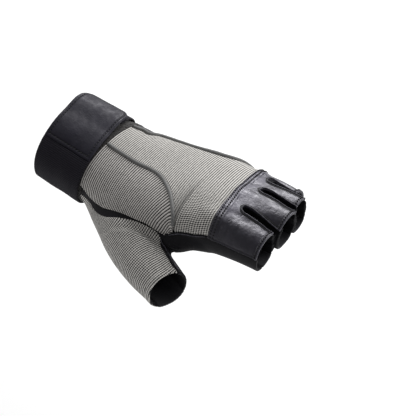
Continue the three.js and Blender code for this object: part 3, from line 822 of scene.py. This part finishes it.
inner_rows = [(i, *row) for i, row in enumerate(INNER_SEAM)]
inner_route = along_table(inner_rows, np.linspace(0, len(INNER_SEAM) - 1, 160))
outer_route = seam_route(OUTER_SEAM)
thumb_side = seam_angle(seam_route(THUMB_SIDE_SEAM))
little_side = seam_angle(outer_route)
inner_line = seam_angle(inner_route)
ROUTE_END = float(share_along(outline(body_section(inner_route[-1, 0]), inner_route[-1, 1])))
SIDE_END = ROUTE_END - 0.01
_, TIGHT_SIDE, TIGHT_UP, _, _ = body_section(122.0)


def tight_over(across, height):
    """How high a tight sheet lies over a row of bumps: straight from crest to crest."""
    crests = []
    for i in np.argsort(across):
        while len(crests) > 1:
            (x0, z0), (x1, z1) = ((across[k], height[k]) for k in crests[-2:])
            if (x1 - x0) * (height[i] - z1) < (z1 - z0) * (across[i] - x1):
                break
            crests.pop()
        crests.append(i)
    return np.interp(across, across[crests], height[crests])


def tightened(points, amount):
    """A row of points pulled up by an amount towards a tight sheet, but not where it turns down."""
    across, height = points @ TIGHT_SIDE, points @ TIGHT_UP
    amount = amount * step(*TIGHT_ENDS[0], across) * step(*TIGHT_ENDS[1], across)
    return points + TIGHT_UP * ((tight_over(across, height) - height) * amount)[:, None]


def back_y(share, angle):
    """How far along the glove the back lies at a share of its length and an angle round it."""
    at, slope = (mix(low, high, share) for low, high in zip(CUFF_EDGE, KNUCKLE_EDGE))
    return place_on_edge(angle, at, slope, BACK_MIDDLE)


def grid_shares(rows, columns, last=1):
    """The share down a grid at each of its rows, and the share across it at each column."""
    return np.linspace(0, last, rows)[:, None], np.linspace(0, 1, columns)[None, :]


def back_cloth(low, high, last, coarse, fine):
    """A panel of the back between two seams: its points, its way out, and its map."""
    share, side = grid_shares(*coarse, last)
    angle = mix(low(share), high(share), side)
    points = on_form(back_y(share, angle), angle)
    points = np.array([tightened(row, step(*TIGHT_KNIT, row[:, 1])) for row in points])
    points = refine(points, *fine)
    width = lengths(points, 1)
    share, _ = grid_shares(*fine, last)
    ribs = RIBS * (share + RIB_SPREAD * share * (1 - share)) + 0 * width
    return points, ways_out(points, body_section(BACK_MIDDLE)[0]), np.stack((width, ribs), -1)


def to_width(angle_of, way):
    """A seam moved sideways on the glove by a way in millimetres."""
    def moved(share):
        angle = angle_of(share)
        at = body_section(back_y(share, angle))
        wide = np.linalg.norm(outline(at, angle + 0.5) - outline(at, angle - 0.5), axis=-1)
        return angle + way / wide
    return moved


beside_strip = to_width(thumb_side, STRIP_GAP)
beside_cord = to_width(inner_line, CHANNEL)


def inner_edge(share):
    """The back panel's edge: beside the inner cord, and past its end beside the black strip."""
    return np.where(share < ROUTE_END, beside_cord(share), beside_strip(share))


points, out, uv = back_cloth(inner_edge, to_width(little_side, -CHANNEL), BACK_END, BACK_COARSE, BACK_FINE)
near_edge = np.minimum(uv[..., 0], uv[:, -1:, 0] - uv[..., 0])
relief = rib_height(uv[..., 1]) + 0.35 * cloud(points, 26.0, 1.0, 2) - edge_drop(near_edge, *SEAM_DROP)
back = sheet("back_knit", points + out * relief[..., None], uv, out, PANEL_WALL)
place_piece(back, "grey_knit", back_skin, "back_panel")

points, out, uv = back_cloth(beside_strip, to_width(inner_line, -CHANNEL), SIDE_END, SIDE_COARSE, SIDE_FINE)
along, side = grid_shares(*SIDE_FINE)
uv[..., 1] -= SIDE_RIB_TURN * (side - 0.5) * step(0.2, 0.7, along)
near_edge = uv[:, -1:, 0] - uv[..., 0]
relief = rib_height(uv[..., 1]) + 0.3 * cloud(points, 22.0, 2.0, 2) - edge_drop(near_edge, *SEAM_DROP)
side_knit = sheet("thumb_side_knit", points + out * relief[..., None], uv, out, PANEL_WALL)
place_piece(side_knit, "grey_knit", side_skin, "thumb_side_panel")

# Piping
# Two grey cords are sewn into the seams of the back: one swings from the cuff to the thumb's crotch,
# the other follows the little-finger edge. Each has a black flange beside it: the seam's black edge,
# which also stands in as painted shade in the seam there.
PIPING_RADIUS = 1.1
PIPING_LIFT = 0.3
PIPING_POINTS = 140
CORD_LOW = 2
FLANGE_WIDTH = 1.9
FLANGE_UNDER = FLANGE_WIDTH * 0.6
FLANGE_SUNK = 0.45
FLANGE_WALL = 0.8
FLANGE_COARSE, FLANGE_FINE = (60, 4), (160, 8)

grey_cord = mottled(
    "grey_cord", (1600.0, 3.0, 0.6), (0.3, 0.7), (paint(92, 92, 92), paint(126, 126, 125)),
    depth=0.12, roughness=0.72, sheen_weight=0.1,
)
black_cloth = mottled(
    "black_cloth", (1300.0, 3.0, 0.6), (0.3, 0.7), (paint(5, 4, 8), paint(14, 13, 20)),
    ((80.0,), (0.4, 0.7, 0.0, 0.4), paint(20, 19, 27)), 0.12,
    roughness=0.8, specular_ior_level=0.3, sheen_weight=0.04,
)


def cord(name, path, ways, radius, sides=8):
    """A round cord along a path: a grid rolled round it and closed at its ends."""
    ahead = unit(np.gradient(path, axis=0))
    out = unit(ways - ahead * np.sum(ways * ahead, -1, keepdims=True))
    across = np.cross(ahead, out)
    turn = np.linspace(0, 2 * np.pi, sides + 1)
    ring = np.cos(turn)[None, :, None] * across[:, None] + np.sin(turn)[None, :, None] * out[:, None]
    fade = np.ones(len(path))
    fade[0] = fade[-1] = 0.0
    points = path[:, None] + ring * (radius * fade)[:, None, None]
    uv = np.stack(np.broadcast_arrays(turn[None, :], np.linspace(0, 90, len(path))[:, None]), -1)
    return sheet(name, points, uv, ring, weld=True)


def smoothed(path):
    """The same path, smooth from point to point."""
    return refine(path[:, None].repeat(2, 1), len(path), 2)[:, 0]


for name, line, node, last in (
    ("inner_cord", inner_route, "inner_piping", 1.01),
    ("outer_cord", outer_route, "outer_piping", BACK_END),
):
    shares = share_along(outline(body_section(line[:, 0]), line[:, 1]))
    line = line[(shares > -0.005) & (shares < last) & (line[:, 1] > CORD_LOW)]
    y, angle = read_off(np.linspace(0, len(line) - 1, PIPING_POINTS), np.arange(len(line)), line).T
    path = smoothed(on_form(y, angle))
    ways = unit(path - body_section(y)[0])
    made = cord(name, path + ways * PIPING_LIFT, ways, PIPING_RADIUS, 14)
    place_piece(made, "grey_cord", grey_cord, node)

# Black cloth sunk beside each cord: the seam's black edge, and painted shade in the channel there.
for name, edge_of, low, last in (
    ("inner_flange", inner_line, -FLANGE_UNDER, SIDE_END),
    ("outer_flange", little_side, -FLANGE_WIDTH, BACK_END),
):
    edges = to_width(edge_of, low), to_width(edge_of, FLANGE_UNDER)
    points, out, uv = back_cloth(*edges, last, FLANGE_COARSE, FLANGE_FINE)
    place_piece(sheet(name, points - out * FLANGE_SUNK, uv, out, FLANGE_WALL), "black_cloth", black_cloth)

# Thumb
# The thumb is a tube of the same rib knit with its ribs round its girth. It is sewn to the palm below
# and to the black dart above, and its open end is a doubled hem.
THUMB_LOW, THUMB_HIGH = -62, 140
THUMB_EDGE = (  # the upper seam: share of the thumb's length, angle round it, x, y, z
    (-0.34, 16, 28.7, 31, -9.5), (-0.276, 16, 29.3, 35.1, -10.3), (-0.204, 15, 30.3, 39, -11.2),
    (-0.138, 16.5, 31.9, 42.5, -11.4), (-0.078, 18, 33.8, 45.3, -11.4), (-0.006, 22.5, 35.9, 48.7, -10.9),
    (0.066, 31, 37.6, 52.6, -9.4), (0.132, 42, 38.8, 56.8, -7.7), (0.173, 53, 38.8, 60.2, -6.1),
    (0.204, 63, 38.1, 63.2, -5), (0.233, 73, 37.3, 66, -4.3), (0.265, 81.5, 36.7, 69.1, -3.9),
    (0.303, 88.5, 36.3, 72.2, -3.4), (0.348, 94, 36.3, 75.6, -3.1), (0.394, 99, 36.4, 79, -2.8),
    (0.444, 104.5, 36.4, 82.4, -2.9), (0.492, 110.5, 36.3, 85.7, -3.5), (0.538, 117.5, 35.9, 88.9, -4.5),
    (0.594, 123, 36.2, 92.3, -5.6), (0.622, 124, 37.2, 93.6, -6.6), (0.645, 124, 38.8, 94.6, -7.7),
    (0.668, 124, 39.8, 95.7, -8.1), (0.745, 123.5, 42.6, 99.9, -8.5), (0.856, 118.5, 47.3, 106, -8.1),
    (0.932, 115.5, 50.6, 110.2, -7.8), (1.0, 114.5, 53, 114.6, -8),
)
EDGE_REACH = 34
EDGE_COLUMNS = 14
GIRTH_COLUMNS = 30
THUMB_ROWS = 64
THUMB_FINE = (370, 130)
THUMB_RIBS = 62
THUMB_RIB_TILT = (11, 5)
THUMB_RIB_TURN = 5
HEM = 4.2
HEM_RAISED = 0.25
HEM_GROOVE = (0.15, HEM, 0.35)
HEM_DROP = (0.7, 0.9)
THUMB_SEAM_DROP = (0.55, 1.4)
FOLD_FROM_SEAM = (10, 5)
FOLD_STARTS, FOLD_STOPS = (0.42, 0.55), (0.8, 0.68)
FOLD_RIDGE = (0.5, 4.5, 2.5)
FOLD_GROOVE = (0.8, 0, 2.2)


def on_thumb(t, angle):
    at = thumb_section(t)
    return drape(at[0], outline(at, angle), mix(12.0, 5.0, float(np.clip(np.mean(t) * 2, 0, 1))))


scan = np.linspace(THUMB_LOW, THUMB_HIGH, 102)
cuff_t = np.full(scan.shape, -0.3)
for _ in range(6):
    point = on_thumb(cuff_t, scan)
    cuff_t = cuff_t + (CUFF_EDGE[0] + 0.2 + CUFF_EDGE[1] * point[:, 0] - point[:, 1]) / THUMB_LENGTH
    cuff_t = np.clip(cuff_t, -0.4, 0.1)
shares = np.linspace(0, 1, THUMB_ROWS)
edge = np.array(THUMB_EDGE)
edge_t, edge_angle, edge_place = edge[:, 0], edge[:, 1], edge[:, 2:]
highs = np.full(THUMB_ROWS, 60.0)
for _ in range(12):
    t = mix(np.interp(highs, scan, cuff_t), 1.0, shares)
    highs = mix(highs, np.interp(t, edge_t, edge_angle), 0.7)
angle = mix(THUMB_LOW, highs[:, None] - EDGE_REACH, np.linspace(0, 1, GIRTH_COLUMNS)[None, :])
inner_t = mix(np.interp(angle, scan, cuff_t), 1.0, shares[:, None])
girth = np.stack([on_thumb(*row) for row in zip(inner_t, angle)])
seam = read_off(t, edge_t, edge_place)
bridge = mix(girth[:, -1:], seam[:, None], np.linspace(0, 1, EDGE_COLUMNS + 1)[None, 1:, None])
for i in np.ndindex(bridge.shape[:-1]):
    bridge[i] = former.find_nearest(Vector(bridge[i]))[0]
points = refine(np.concatenate((girth, bridge), 1), *THUMB_FINE)
out = ways_out(points, thumb_section(np.linspace(-0.3, 1, THUMB_FINE[0]))[0][:, None])
width, down = lengths(points, 1), lengths(points, 0)
to_seam, to_hem = width[:, -1:] - width, down[-1:] - down
along, side = grid_shares(*THUMB_FINE)
ribs = THUMB_RIBS * along - mix(*THUMB_RIB_TILT, along) * side
ribs = ribs + THUMB_RIB_TURN * step(0.05, 0.5, along) * np.clip((side - 0.4) / 0.6, 0, 1) ** 2
relief = rib_height(ribs) * step(0.2, 2.0, to_seam) - edge_drop(to_seam, *THUMB_SEAM_DROP)
relief = relief + 0.3 * cloud(points, 20.0, 4.0, 2) + HEM_RAISED * step(HEM, HEM - 0.6, to_hem)
fold_at = to_seam - mix(*FOLD_FROM_SEAM, np.clip((along - 0.35) / 0.3, 0, 1))
folded = step(*FOLD_STARTS, along) * step(*FOLD_STOPS, along)
relief = relief + folded * (crease(fold_at, *FOLD_RIDGE) - crease(fold_at, *FOLD_GROOVE))
relief = relief - crease(to_hem, *HEM_GROOVE) - edge_drop(to_hem, *HEM_DROP)
thumb_knit = sheet("thumb_knit", points + out * relief[..., None], np.stack((width, ribs), -1), out, WALL)
place_piece(thumb_knit, "grey_knit", thumb_skin, "thumb_panel")
# The inner wall and rim take the black cloth: painted shade inside the thumb's opening, as a lining.
thumb_knit.data.materials.append(black_cloth)
thumb_knit.modifiers["wall"].material_offset = thumb_knit.modifiers["wall"].material_offset_rim = 1

# Black stretch panels
# Plain black stretch cloth joins the grey and leather parts: the dart beside the thumb, the strip down
# the thumb's inner side, and the strip that runs from the crotch along the index finger.
SEAM_ALLOWANCE = 0.4
SEAM_EDGE_LIFT = 0.35


def snug(name, node, voxel, relief=None, laid_on=1.6, rounds=3, lift=0.0, grow=SEAM_ALLOWANCE):
    """A panel cut as the node is, laid on the worn form where that is near, with rounded edges."""
    shape = bmesh.new()
    shape.from_mesh(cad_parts[node].data)
    bmesh.ops.remove_doubles(shape, verts=shape.verts, dist=0.005 * MM)
    shape.normal_update()
    grown = [v.co + Vector(np.multiply(v.normal, grow)) * MM for v in shape.verts]
    for v, point in zip(shape.verts, grown):
        v.co = point
    holder = in_scene(name + "_rough", mesh_of(name + "_rough", shape))
    remesh = holder.modifiers.new("remesh", "REMESH")
    remesh.mode = "VOXEL"
    remesh.voxel_size = voxel * MM
    bpy.context.view_layer.update()
    mesh = bpy.data.meshes.new_from_object(holder.evaluated_get(bpy.context.evaluated_depsgraph_get()))
    mesh.name = name
    bpy.data.objects.remove(holder)
    flat = np.zeros(len(mesh.vertices) * 3)
    mesh.vertices.foreach_get("co", flat)
    points = flat.reshape(-1, 3) / MM
    mesh.vertices.foreach_get("normal", flat)
    laid = np.empty_like(points)
    for i, (point, way) in enumerate(zip(points, flat.reshape(-1, 3))):
        spot, normal = (np.array(found) for found in former.find_nearest(Vector(point))[:2])
        depth = WALL * (1 - step(-0.5, 0.5, np.dot(way, normal)))
        raised = lift + (relief(spot) if relief else 0.0)
        snugly = spot + normal * (raised - depth)
        share = step(laid_on + 0.8, laid_on, np.linalg.norm(snugly - point))
        laid[i] = mix(point + normal * lift, snugly, share)
    mesh.vertices.foreach_set("co", (laid * MM).ravel())
    shape = bmesh.new()
    shape.from_mesh(mesh)
    axes = {"use_axis_x": True, "use_axis_y": True, "use_axis_z": True}
    for _ in range(rounds):
        bmesh.ops.smooth_vert(shape, verts=shape.verts, factor=0.5, **axes)
    shape.to_mesh(mesh)
    shape.free()
    return finished(name, mesh)


def gathers(spot):
    """Small pleats where the strip is eased round the thumb's crotch."""
    x, y, z = spot
    reach = math.exp(-((y - 97) / 7.0) ** 2)
    return 0.5 * reach * math.sin((x * 0.9 + z * 1.6) * 1.1)


for name, node, voxel, relief, lift in (
    ("thumb_dart", "thumb_gusset", 0.4, None, -0.5),
    ("thumb_strip", "thumb_inner_panel", 0.45, None, -0.3),
    ("index_strip", "index_side_panel", 0.45, gathers, 0.0),
):
    place_piece(snug(name, node, voxel, relief, lift=lift), "black_cloth", black_cloth, node)

# A pale cord: a painted highlight along rolled seam edges, turned hems and slot rims.
edge_highlight = mottled(
    "edge_highlight", (900.0,), (0.35, 0.6), (paint(36, 35, 44), paint(78, 76, 86)),
    roughness=0.5, specular_ior_level=0.4,
)
seam_t = np.linspace(0.62, 0.985, 60)
thumb_row = read_off(seam_t, edge_t, edge_place) + (-1.3, 0.7, -0.4)
strip_ys = np.linspace(98, 121, 70)
strip_row = on_form(strip_ys, along_table(THUMB_SIDE_SEAM, strip_ys)[:, 0] - 2.0)
# Pale lines painted as highlights on the rolled seams beside the thumb and the strip.
for name, row in (("thumb_seam_edge", thumb_row), ("strip_seam_edge", strip_row)):
    found = [former.find_nearest(Vector(point))[:2] for point in smoothed(row)]
    row, ways = np.array(found).transpose(1, 0, 2)
    place_piece(cord(name, row + SEAM_EDGE_LIFT * ways, ways, 0.32), "black_cloth", edge_highlight)

# Palm
# The palm and the undersides of the stalls are one black panel of soft suede-like leather. The
# photograph hides it, so it is plain.
suede = mottled(
    "palm_leather", (1100.0, 4.0, 0.7), (0.3, 0.7), (paint(22, 22, 26), paint(44, 44, 50)),
    ((60.0, 3.0), (0.45, 0.75, 0.0, 0.5), paint(54, 54, 60)), 0.15,
    roughness=0.82, sheen_weight=0.15, sheen_roughness=0.5,
)
place_piece(snug("palm", "palm_panel", 0.75), "palm_leather", suede, "palm_panel")

# Knuckle leather
# One piece of dark smooth leather covers the knuckles and the backs of the four stalls. Three slots
# are cut into it between the fingers, with rolled edges: a black line in each rim's groove is painted
# shade, and a pale line on its turned edge is a painted highlight. Its edges are turned and sewn.
# Over the knuckles it is drawn tight, so the hollows between the stalls only open along the slots.
LEATHER_SEAM = (2.6, 0.17)
SLOTS = {  # where the web lies, where the slot ends, its width to the thumb side and to the little side
    "index_middle": ((14.2, 131), (16, 163), 3.3, 1.5),
    "middle_ring": ((-7.3, 131), (-5.5, 163), 3.5, 3.2),
    "ring_little": ((-23.8, 128), (-25.2, 163), 4.8, 3.2),
}
ROOT_LINE = ((-46, 122), (-34, 125.5), (-23.8, 128), (-7.3, 131), (14.2, 131), (30, 132), (44, 133))
SLOT_ROUND = 4.5
SLOT_OPENED = 0.2
KNUCKLE_ROWS = 18
STALL_ROWS = 46
LEATHER_COLUMNS = 30
LEATHER_FINE = (150, 72)
JOIN_COLUMNS = 14
TIGHT_START = (-1.5, -0.5)
TIGHT_RELEASE = (24, 2)
TIGHT_OVERLAP = 4
RIM_INSET = 1.3
TURNED_INSET = 0.55
HEM_INSET = 1.7
KNUCKLE_INSETS = (1.3, 3.4)
RIM_ROLL = (0.45, 0.6, 0.38)
RIM_GROOVE = (0.3, RIM_INSET, 0.35)
RIM_DROP = (0.5, 0.4)
STALL_HEM_GROOVE = (0.22, 2.5, 0.3)
STALL_HEM_DROP = (0.55, 0.7)
KNUCKLE_GROOVE = (0.1, 2.3, 0.35)
KNUCKLE_DROP = (0.3, 0.6)


def slot_edge(slot, y, side):
    """The X of a slot's rounded edge: side 1 to the thumb, -1 to the little finger."""
    (x0, y0), (x1, y1), near, far = SLOTS[slot]
    k = np.clip((y - y0) / SLOT_ROUND, 0, 1)
    middle = x0 + (x1 - x0) * (y - y0) / (y1 - y0)
    return middle + side * (near if side > 0 else far) * np.sqrt(np.clip(1 - (1 - k) ** 2, 0, 1))


def hem_y(name, points):
    """The Y of the stall's slanted opening above or below a point."""
    centre, side, up, _, _ = finger_section(name, 1.0)
    facing = np.cross(up, side)
    off = points - centre
    return centre[1] - (off[..., 0] * facing[0] + off[..., 2] * facing[2]) / facing[1]


def root_y(points):
    return np.interp(points[..., 0], *zip(*ROOT_LINE))


def stall_row(name, share, knuckle):
    """A closed ring of points on the form, at a share of the knuckle or of the stall."""
    scan = np.linspace(-25, 205, 93)
    run = FINGERS[name][1][1] - FINGERS[name][0][1]
    t = np.full(scan.shape, 0.0)
    for _ in range(4):
        at = finger_section(name, t)
        point = drape(at[0], outline(at, scan), 5.0)
        root = root_y(point)
        start = KNUCKLE_EDGE[0] - 0.4 + KNUCKLE_EDGE[1] * point[:, 0]
        wanted = mix(start, root, share) if knuckle else mix(root, hem_y(name, point), share)
        t = np.clip(t + (wanted - point[:, 1]) / run, -0.5, 1.2)
    return point


def cross_at(points, value):
    """The length along a row to where a value first falls through zero, or comes nearest to it."""
    length = lengths(points, 0)
    signs = np.nonzero((value[:-1] > 0) & (value[1:] <= 0))[0]
    i = signs[0] if len(signs) else min(np.argmin(np.abs(value)), len(value) - 2)
    k = np.clip(value[i] / max(value[i] - value[i + 1], 1e-9), 0, 1)
    return length[i] + k * (length[i + 1] - length[i])


def stall_edges(name, points):
    """Where the leather of a stall starts and ends along a row, as lengths."""
    i, slots = list(FINGERS).index(name), list(SLOTS)
    plane = points[:, 2] - LEATHER_SEAM[0] - LEATHER_SEAM[1] * points[:, 0]
    low_side = points[:, 0] > np.mean(points[:, 0])
    if i == 0:
        start = cross_at(points, np.where(low_side, -plane, -1.0))
    else:
        start = cross_at(points, points[:, 0] - slot_edge(slots[i - 1], points[:, 1], -1))
    if i == 3:
        end = cross_at(points, np.where(low_side, 1.0, plane))
    else:
        end = cross_at(points, points[:, 0] - slot_edge(slots[i], points[:, 1], 1))
    return start, end


def row_sides(ring):
    """How far to the thumb side a row's points lie, and which two of them lie outermost."""
    across = ring @ TIGHT_SIDE
    half = len(ring) // 2
    return across, np.argmax(across[:half]), half + np.argmin(across[half:])


def widened(ring, is_first, is_last):
    """A stall's row from side to side, with some more of the sheet beyond where it meets another."""
    _, i, j = row_sides(ring)
    more = np.linspace(TIGHT_OVERLAP, 0, 9)[:-1, None] * TIGHT_SIDE
    before = ring[:i] if is_first else ring[i] + more
    after = ring[j + 1:] if is_last else ring[j] - more[::-1]
    return np.concatenate((before, ring[i:j + 1], after))


def unfolded(ring, is_last):
    """A drawn row without the points that would run back towards the thumb."""
    across, i, j = row_sides(ring)
    ahead = np.minimum.accumulate(np.where(np.arange(len(ring)) < i, np.inf, across)) >= across
    ahead[:i] = True
    ahead[j:] |= is_last
    return ring[ahead]


# The last colour is the knuckle band's painted highlight.
leather = smooth_leather(
    "dark_leather", paint(8, 7, 18), paint(18, 16, 30), paint(38, 36, 49), 0.4, 0.8, 0.95, paint(86, 84, 96)
)
stalls = [[] for _ in FINGERS]
side_share = np.linspace(-1, 1, LEATHER_COLUMNS)
side_share = 0.5 + 0.5 * np.sign(side_share) * (1 - (1 - np.abs(side_share)) ** 1.3)
shares = [(k, True) for k in np.linspace(0, 1, KNUCKLE_ROWS)]
shares += [(k, False) for k in np.linspace(0, 1, STALL_ROWS + 1)[1:] ** 1.25]
for share, knuckle in shares:
    rings = [stall_row(name, share, knuckle) for name in FINGERS]
    drawn = knuckle or share < SLOT_OPENED
    if drawn:
        rings = [widened(ring, name == "index", name == "little") for name, ring in zip(FINGERS, rings)]
    wide = np.concatenate(rings)
    from_edge = wide[:, 1] - KNUCKLE_EDGE[0] - KNUCKLE_EDGE[1] * wide[:, 0]
    amount = step(*TIGHT_START, from_edge) * step(*TIGHT_RELEASE, wide[:, 1] - root_y(wide))
    ends = np.cumsum([len(ring) for ring in rings])
    for stall, name, ring in zip(stalls, FINGERS, np.split(tightened(wide, amount), ends[:-1])):
        ring = unfolded(ring, name == "little") if drawn else ring
        stall.append(read_off(mix(*stall_edges(name, ring), side_share), lengths(ring, 0), ring))
stalls = [np.array(stall) for stall in stalls]
for first, second in zip(stalls, stalls[1:]):
    middle = (first[:KNUCKLE_ROWS, -1] + second[:KNUCKLE_ROWS, 0]) / 2
    first[:KNUCKLE_ROWS, -1] = second[:KNUCKLE_ROWS, 0] = middle

row = np.linspace(0, KNUCKLE_ROWS + STALL_ROWS - 1, LEATHER_FINE[0])[:, None]
joined = 1 - step(KNUCKLE_ROWS - 1.5, KNUCKLE_ROWS + 2.5, row)
shapes = []
for name, coarse in zip(FINGERS, stalls):
    points = refine(coarse, *LEATHER_FINE)
    out = ways_out(points, finger_section(name, 0.5)[0])
    across, down = lengths(points, 1), lengths(points, 0)
    from_high, to_hem = across[:, -1:] - across, down[-1:] - down
    edge_low = across if name == "index" else across + joined * 9
    edge_high = from_high if name == "little" else from_high + joined * 9
    near = np.minimum(edge_low, edge_high)
    relief = crease(near, *RIM_ROLL) - crease(near, *RIM_GROOVE) - edge_drop(near, *RIM_DROP)
    relief = relief + 0.3 * step(2.6, 2.1, to_hem) - crease(to_hem, *STALL_HEM_GROOVE)
    relief = relief + 0.3 * step(5.6, 4.6, down) - crease(down, *KNUCKLE_GROOVE)
    relief = relief - edge_drop(to_hem, *STALL_HEM_DROP) - edge_drop(down, *KNUCKLE_DROP)
    relief = relief + 0.45 * cloud(points, 13.0, 5.0, 2) + 0.05 * cloud(points, 3.5, 6.0, 2)
    laid = points + out * relief[..., None]
    shapes.append(SimpleNamespace(laid=laid, out=out, low=across, high=from_high, down=down, to_hem=to_hem))
pairs = list(zip(SLOTS, shapes, shapes[1:]))
slot_row = int((KNUCKLE_ROWS - 2) / (KNUCKLE_ROWS + STALL_ROWS - 1) * LEATHER_FINE[0])
fade = joined[:, :, None] * (1 - np.arange(JOIN_COLUMNS) / JOIN_COLUMNS)[None, :, None]
for _, first, second in pairs:
    middle = (first.laid[:, -1:] + second.laid[:, :1]) / 2
    first.laid[:, -JOIN_COLUMNS:] += fade[:, ::-1] * (middle - first.laid[:, -1:])
    second.laid[:, :JOIN_COLUMNS] += fade * (middle - second.laid[:, :1])
for _, first, second in pairs:
    middle = (first.laid[:slot_row, -1] + second.laid[:slot_row, 0]) / 2
    first.laid[:slot_row, -1] = second.laid[:slot_row, 0] = middle

knuckles = bmesh.new()
for shape in shapes:
    part = sheet("stall_part", shape.laid, np.stack((shape.low, shape.down), -1), shape.out)
    knuckles.from_mesh(part.data)
    bpy.data.objects.remove(part)
bmesh.ops.remove_doubles(knuckles, verts=knuckles.verts, dist=0.12 * MM)
knuckle_leather = finished("knuckle_leather", mesh_of("knuckle_leather", knuckles), PANEL_WALL)
place_piece(knuckle_leather, "dark_leather", leather, "knuckle_panel")


def level_line(values, level, laid):
    """Where a value crosses a level down each column of a sheet."""
    columns = np.arange(values.shape[1])
    above = values > level
    i = np.argmax(above[1:] != above[:-1], axis=0)
    k = (level - values[i, columns]) / (values[i + 1, columns] - values[i, columns])
    return mix(laid[i, columns], laid[i + 1, columns], k[:, None])


def across_line(values, level, laid):
    return level_line(values.T, level, laid.transpose(1, 0, 2))


def outward(points):
    """The way out from the worn form near each point."""
    return np.array([former.find_nearest(Vector(point))[1] for point in points])


def edge_line(name, path, lift, radius, material):
    """A thin cord along an edge: a black line, or a pale one painted as a highlight."""
    ways = outward(path)
    place_piece(cord(name, path + lift * ways, ways, radius), "dark_leather", material)


# A pale painted highlight along each stall's turned hem.
for name, shape in zip(FINGERS, shapes):
    turned = level_line(shape.to_hem, TURNED_INSET, shape.laid)[2:-2]
    edge_line("hem_edge_" + name, turned, 0.1, 0.42, edge_highlight)
hem_rows = [level_line(shape.to_hem, HEM_INSET, shape.laid)[3:-3] for shape in shapes]
knuckle_rows = [
    np.concatenate([level_line(shape.down, inset, shape.laid)[:-1] for shape in shapes])[4:-4]
    for inset in KNUCKLE_INSETS
]
for name, rows, pitch in (("hem_stitches", hem_rows, 1.6), ("knuckle_stitches", knuckle_rows, 1.8)):
    sew(name, [(row, outward(row)) for row in rows], pitch, thread=0.56, lift=0.2, dash=0.25)
# In each slot's rim: a black cord in its groove as painted shade, and a pale cord on its turned edge as a
# painted highlight.
for slot, first, second in pairs:
    for name, inset, apex, lift, radius, material in (
        ("rim_", RIM_INSET, slot_row - 4, 0.1, 0.42, thread_black),
        ("turned_", TURNED_INSET, slot_row + 1, 0.2, 0.36, edge_highlight),
    ):
        near_side = across_line(first.high, inset, first.laid)[slot_row + 8:-4]
        far_side = across_line(second.low, inset, second.laid)[slot_row + 8:-4]
        path = smoothed(np.concatenate((near_side[::-1], first.laid[apex, -1:], far_side)))
        edge_line(name + slot, path, lift, radius, material)

# Gussets between the fingers
# A folded strip of black cloth lines each slot. It is sunk between the two stalls. Its cloth is
# painted darker than the other black cloth: painted shade deep in the slot.
gusset_shade_cloth = mottled(
    "gusset_shade_cloth", (1300.0, 3.0, 0.6), (0.3, 0.7), (paint(4, 4, 7), paint(10, 10, 15)),
    roughness=0.9, specular_ior_level=0.2,
)
for slot, deeper in (("index_middle", 0.6), ("middle_ring", 0.6), ("ring_little", 2.4)):
    node = "fourchette_" + slot
    gusset = snug("gusset_" + slot, node, 0.35, laid_on=-1.0, rounds=5, lift=-1.2, grow=(0.9, 0.5, deeper))
    place_piece(gusset, "black_cloth", gusset_shade_cloth, node)

low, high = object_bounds()
